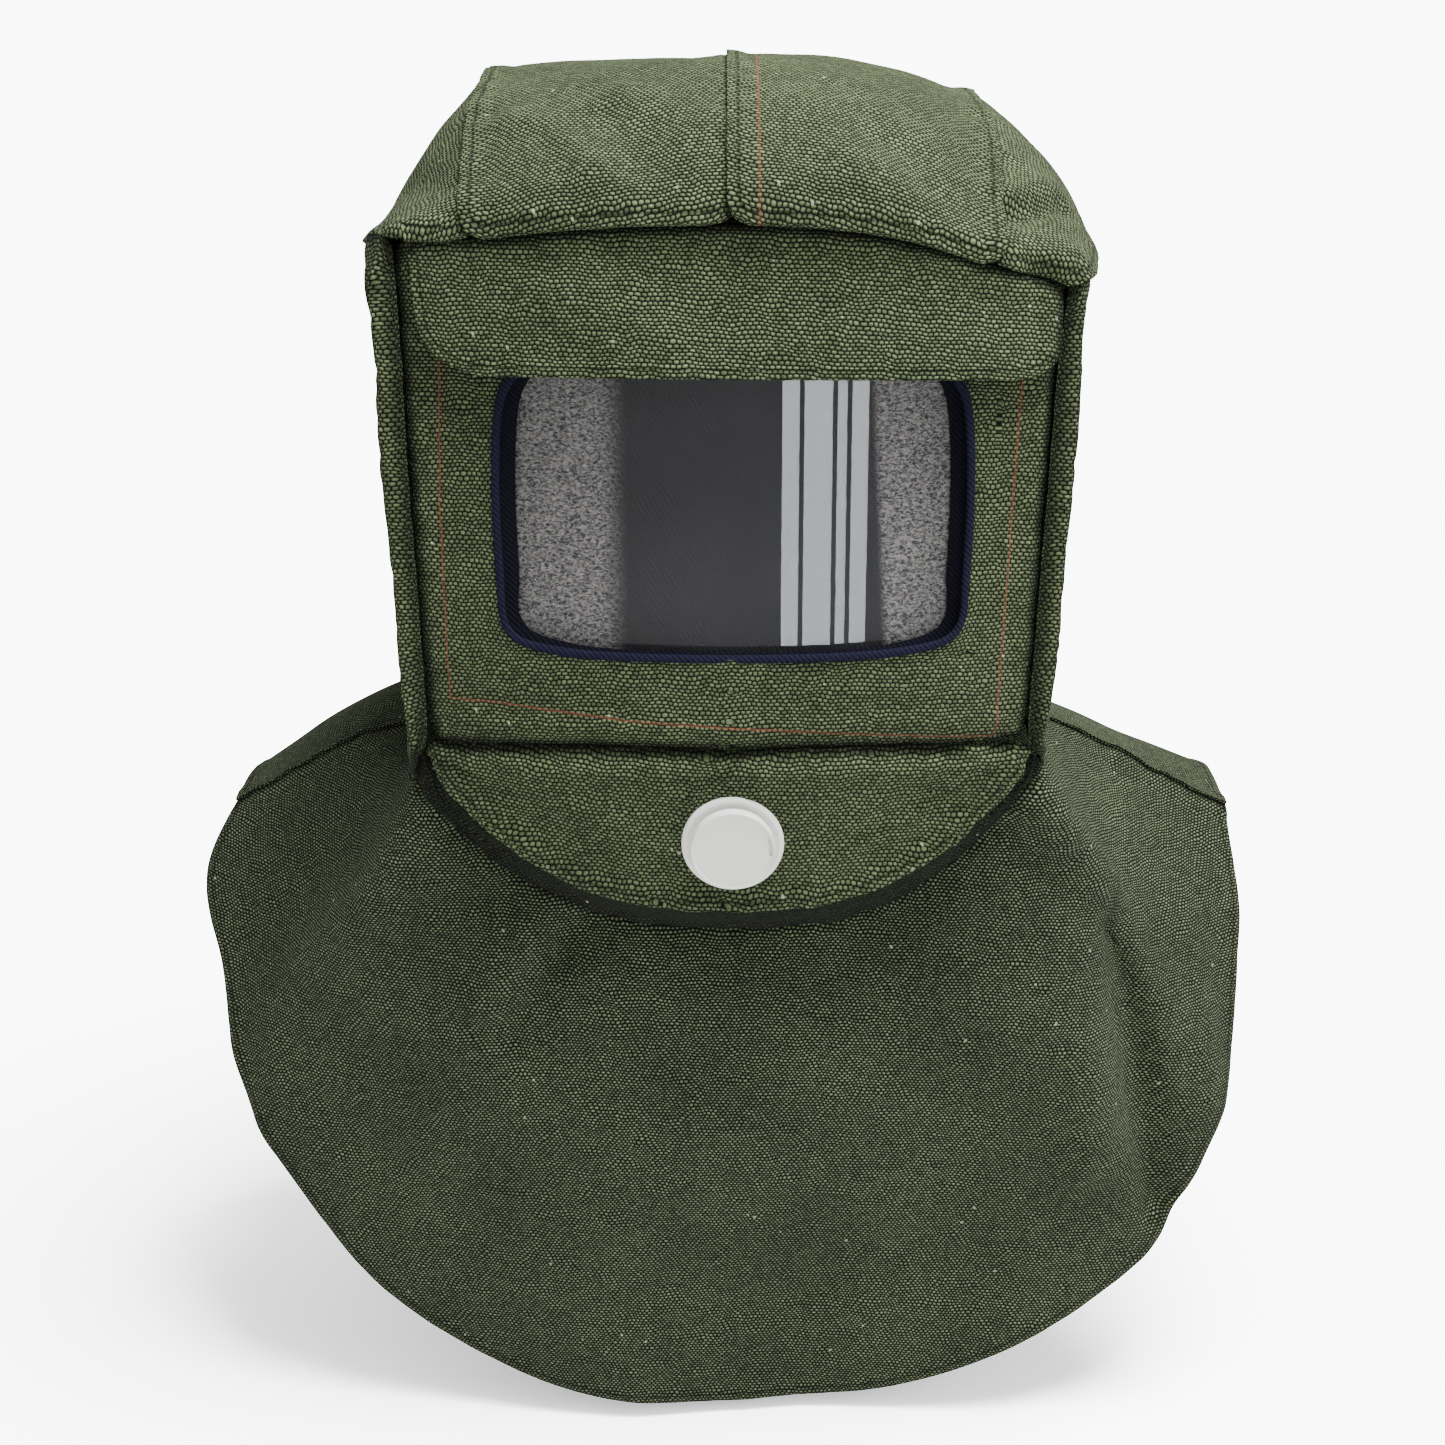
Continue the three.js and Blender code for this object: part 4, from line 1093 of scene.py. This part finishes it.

# %% [markdown]
# ## Sheets
# The two halves of the cape and the brow flap hang free. The unrolled UV map gives the size that they
# were cut to and their area.

# %% [markdown]
# ## Studio
# The surround is bright where the camera sees it and dim for every other ray, so it gives a near-white
# ground without washing out the cloth. The floor only catches the hood's soft shadow.

# %% Floor and surround
floor_height = -0.688
seen_glow, lit_glow = 10.0, 0.6
bpy.ops.object.select_all(action="DESELECT")
bpy.ops.mesh.primitive_plane_add(size=30, location=(0, 0, floor_height))
floor = bpy.context.object
floor.name = "floor"
paper, *_ = new_finish("pale_paper", Base_Color=linear("#f4f4f2"), Roughness=0.9)
floor.data.materials.append(paper)
floor.is_shadow_catcher = True
world = bpy.data.worlds.new("pale_surround")
world.use_nodes = True
surround = world.node_tree
ray = add(surround, "LightPath")
glow = ramp(surround, ray.outputs["Is Camera Ray"], 0, 1, lit_glow, seen_glow, "LINEAR")
surround.nodes["Background"].inputs["Color"].default_value = (1, 1, 1, 1)
surround.links.new(glow, surround.nodes["Background"].inputs["Strength"])
bpy.context.scene.world = world
print("surround seen at", seen_glow, "and lighting at", lit_glow)

# %% [markdown]
# ## Lights
# One broad soft light hangs above and in front, to the wearer's left, as a studio's large softbox does,
# and two weak ones open the shadows at the sides. Four slim upright strips far in front are mirrored by
# the pane as pale bars. They add nothing to the cloth.

# %% Lights
def soft_light(name, place, aim, size, strength, mirrored_only=False):
    """A rectangular light at a place in metres, turned to its aim, with its power for each square metre."""
    data = bpy.data.lights.new(name, "AREA")
    data.shape = "RECTANGLE"
    data.size, data.size_y = size
    data.energy = strength * size[0] * size[1]
    data.color = (0.9, 0.95, 1.0) if mirrored_only else (1, 1, 1)
    light = bpy.data.objects.new(name, data)
    light.location = place
    light.rotation_euler = (Vector(aim) - Vector(place)).to_track_quat("-Z", "Y").to_euler()
    light.visible_diffuse = not mirrored_only
    bpy.context.scene.collection.objects.link(light)


soft_light("overhead", (0.4, -0.42, 1.28), (0, 0, -0.2), (1.0, 0.8), 108)
soft_light("left_box", (-1.6, -1.2, 0.3), (0, 0, -0.3), (0.9, 1.4), 1)
soft_light("right_box", (1.7, -1.1, 0.2), (0, 0, -0.3), (0.9, 1.4), 10)
strip_depth, strip_height, strip_length = -1.15, -0.34, 0.58
strip_distance = 1.3
for number, (start, end) in enumerate(((5.7, 7.6), (8.15, 11.3), (11.85, 12.9), (13.45, 15.3))):
    near, far = (math.tan(math.radians(a)) * strip_distance for a in (start, end))
    middle = (near + far) / 2
    soft_light(f"strip_{number + 1}", (middle, strip_depth, strip_height), (middle, 0, strip_height),
               (far - near, strip_length), 60, mirrored_only=True)
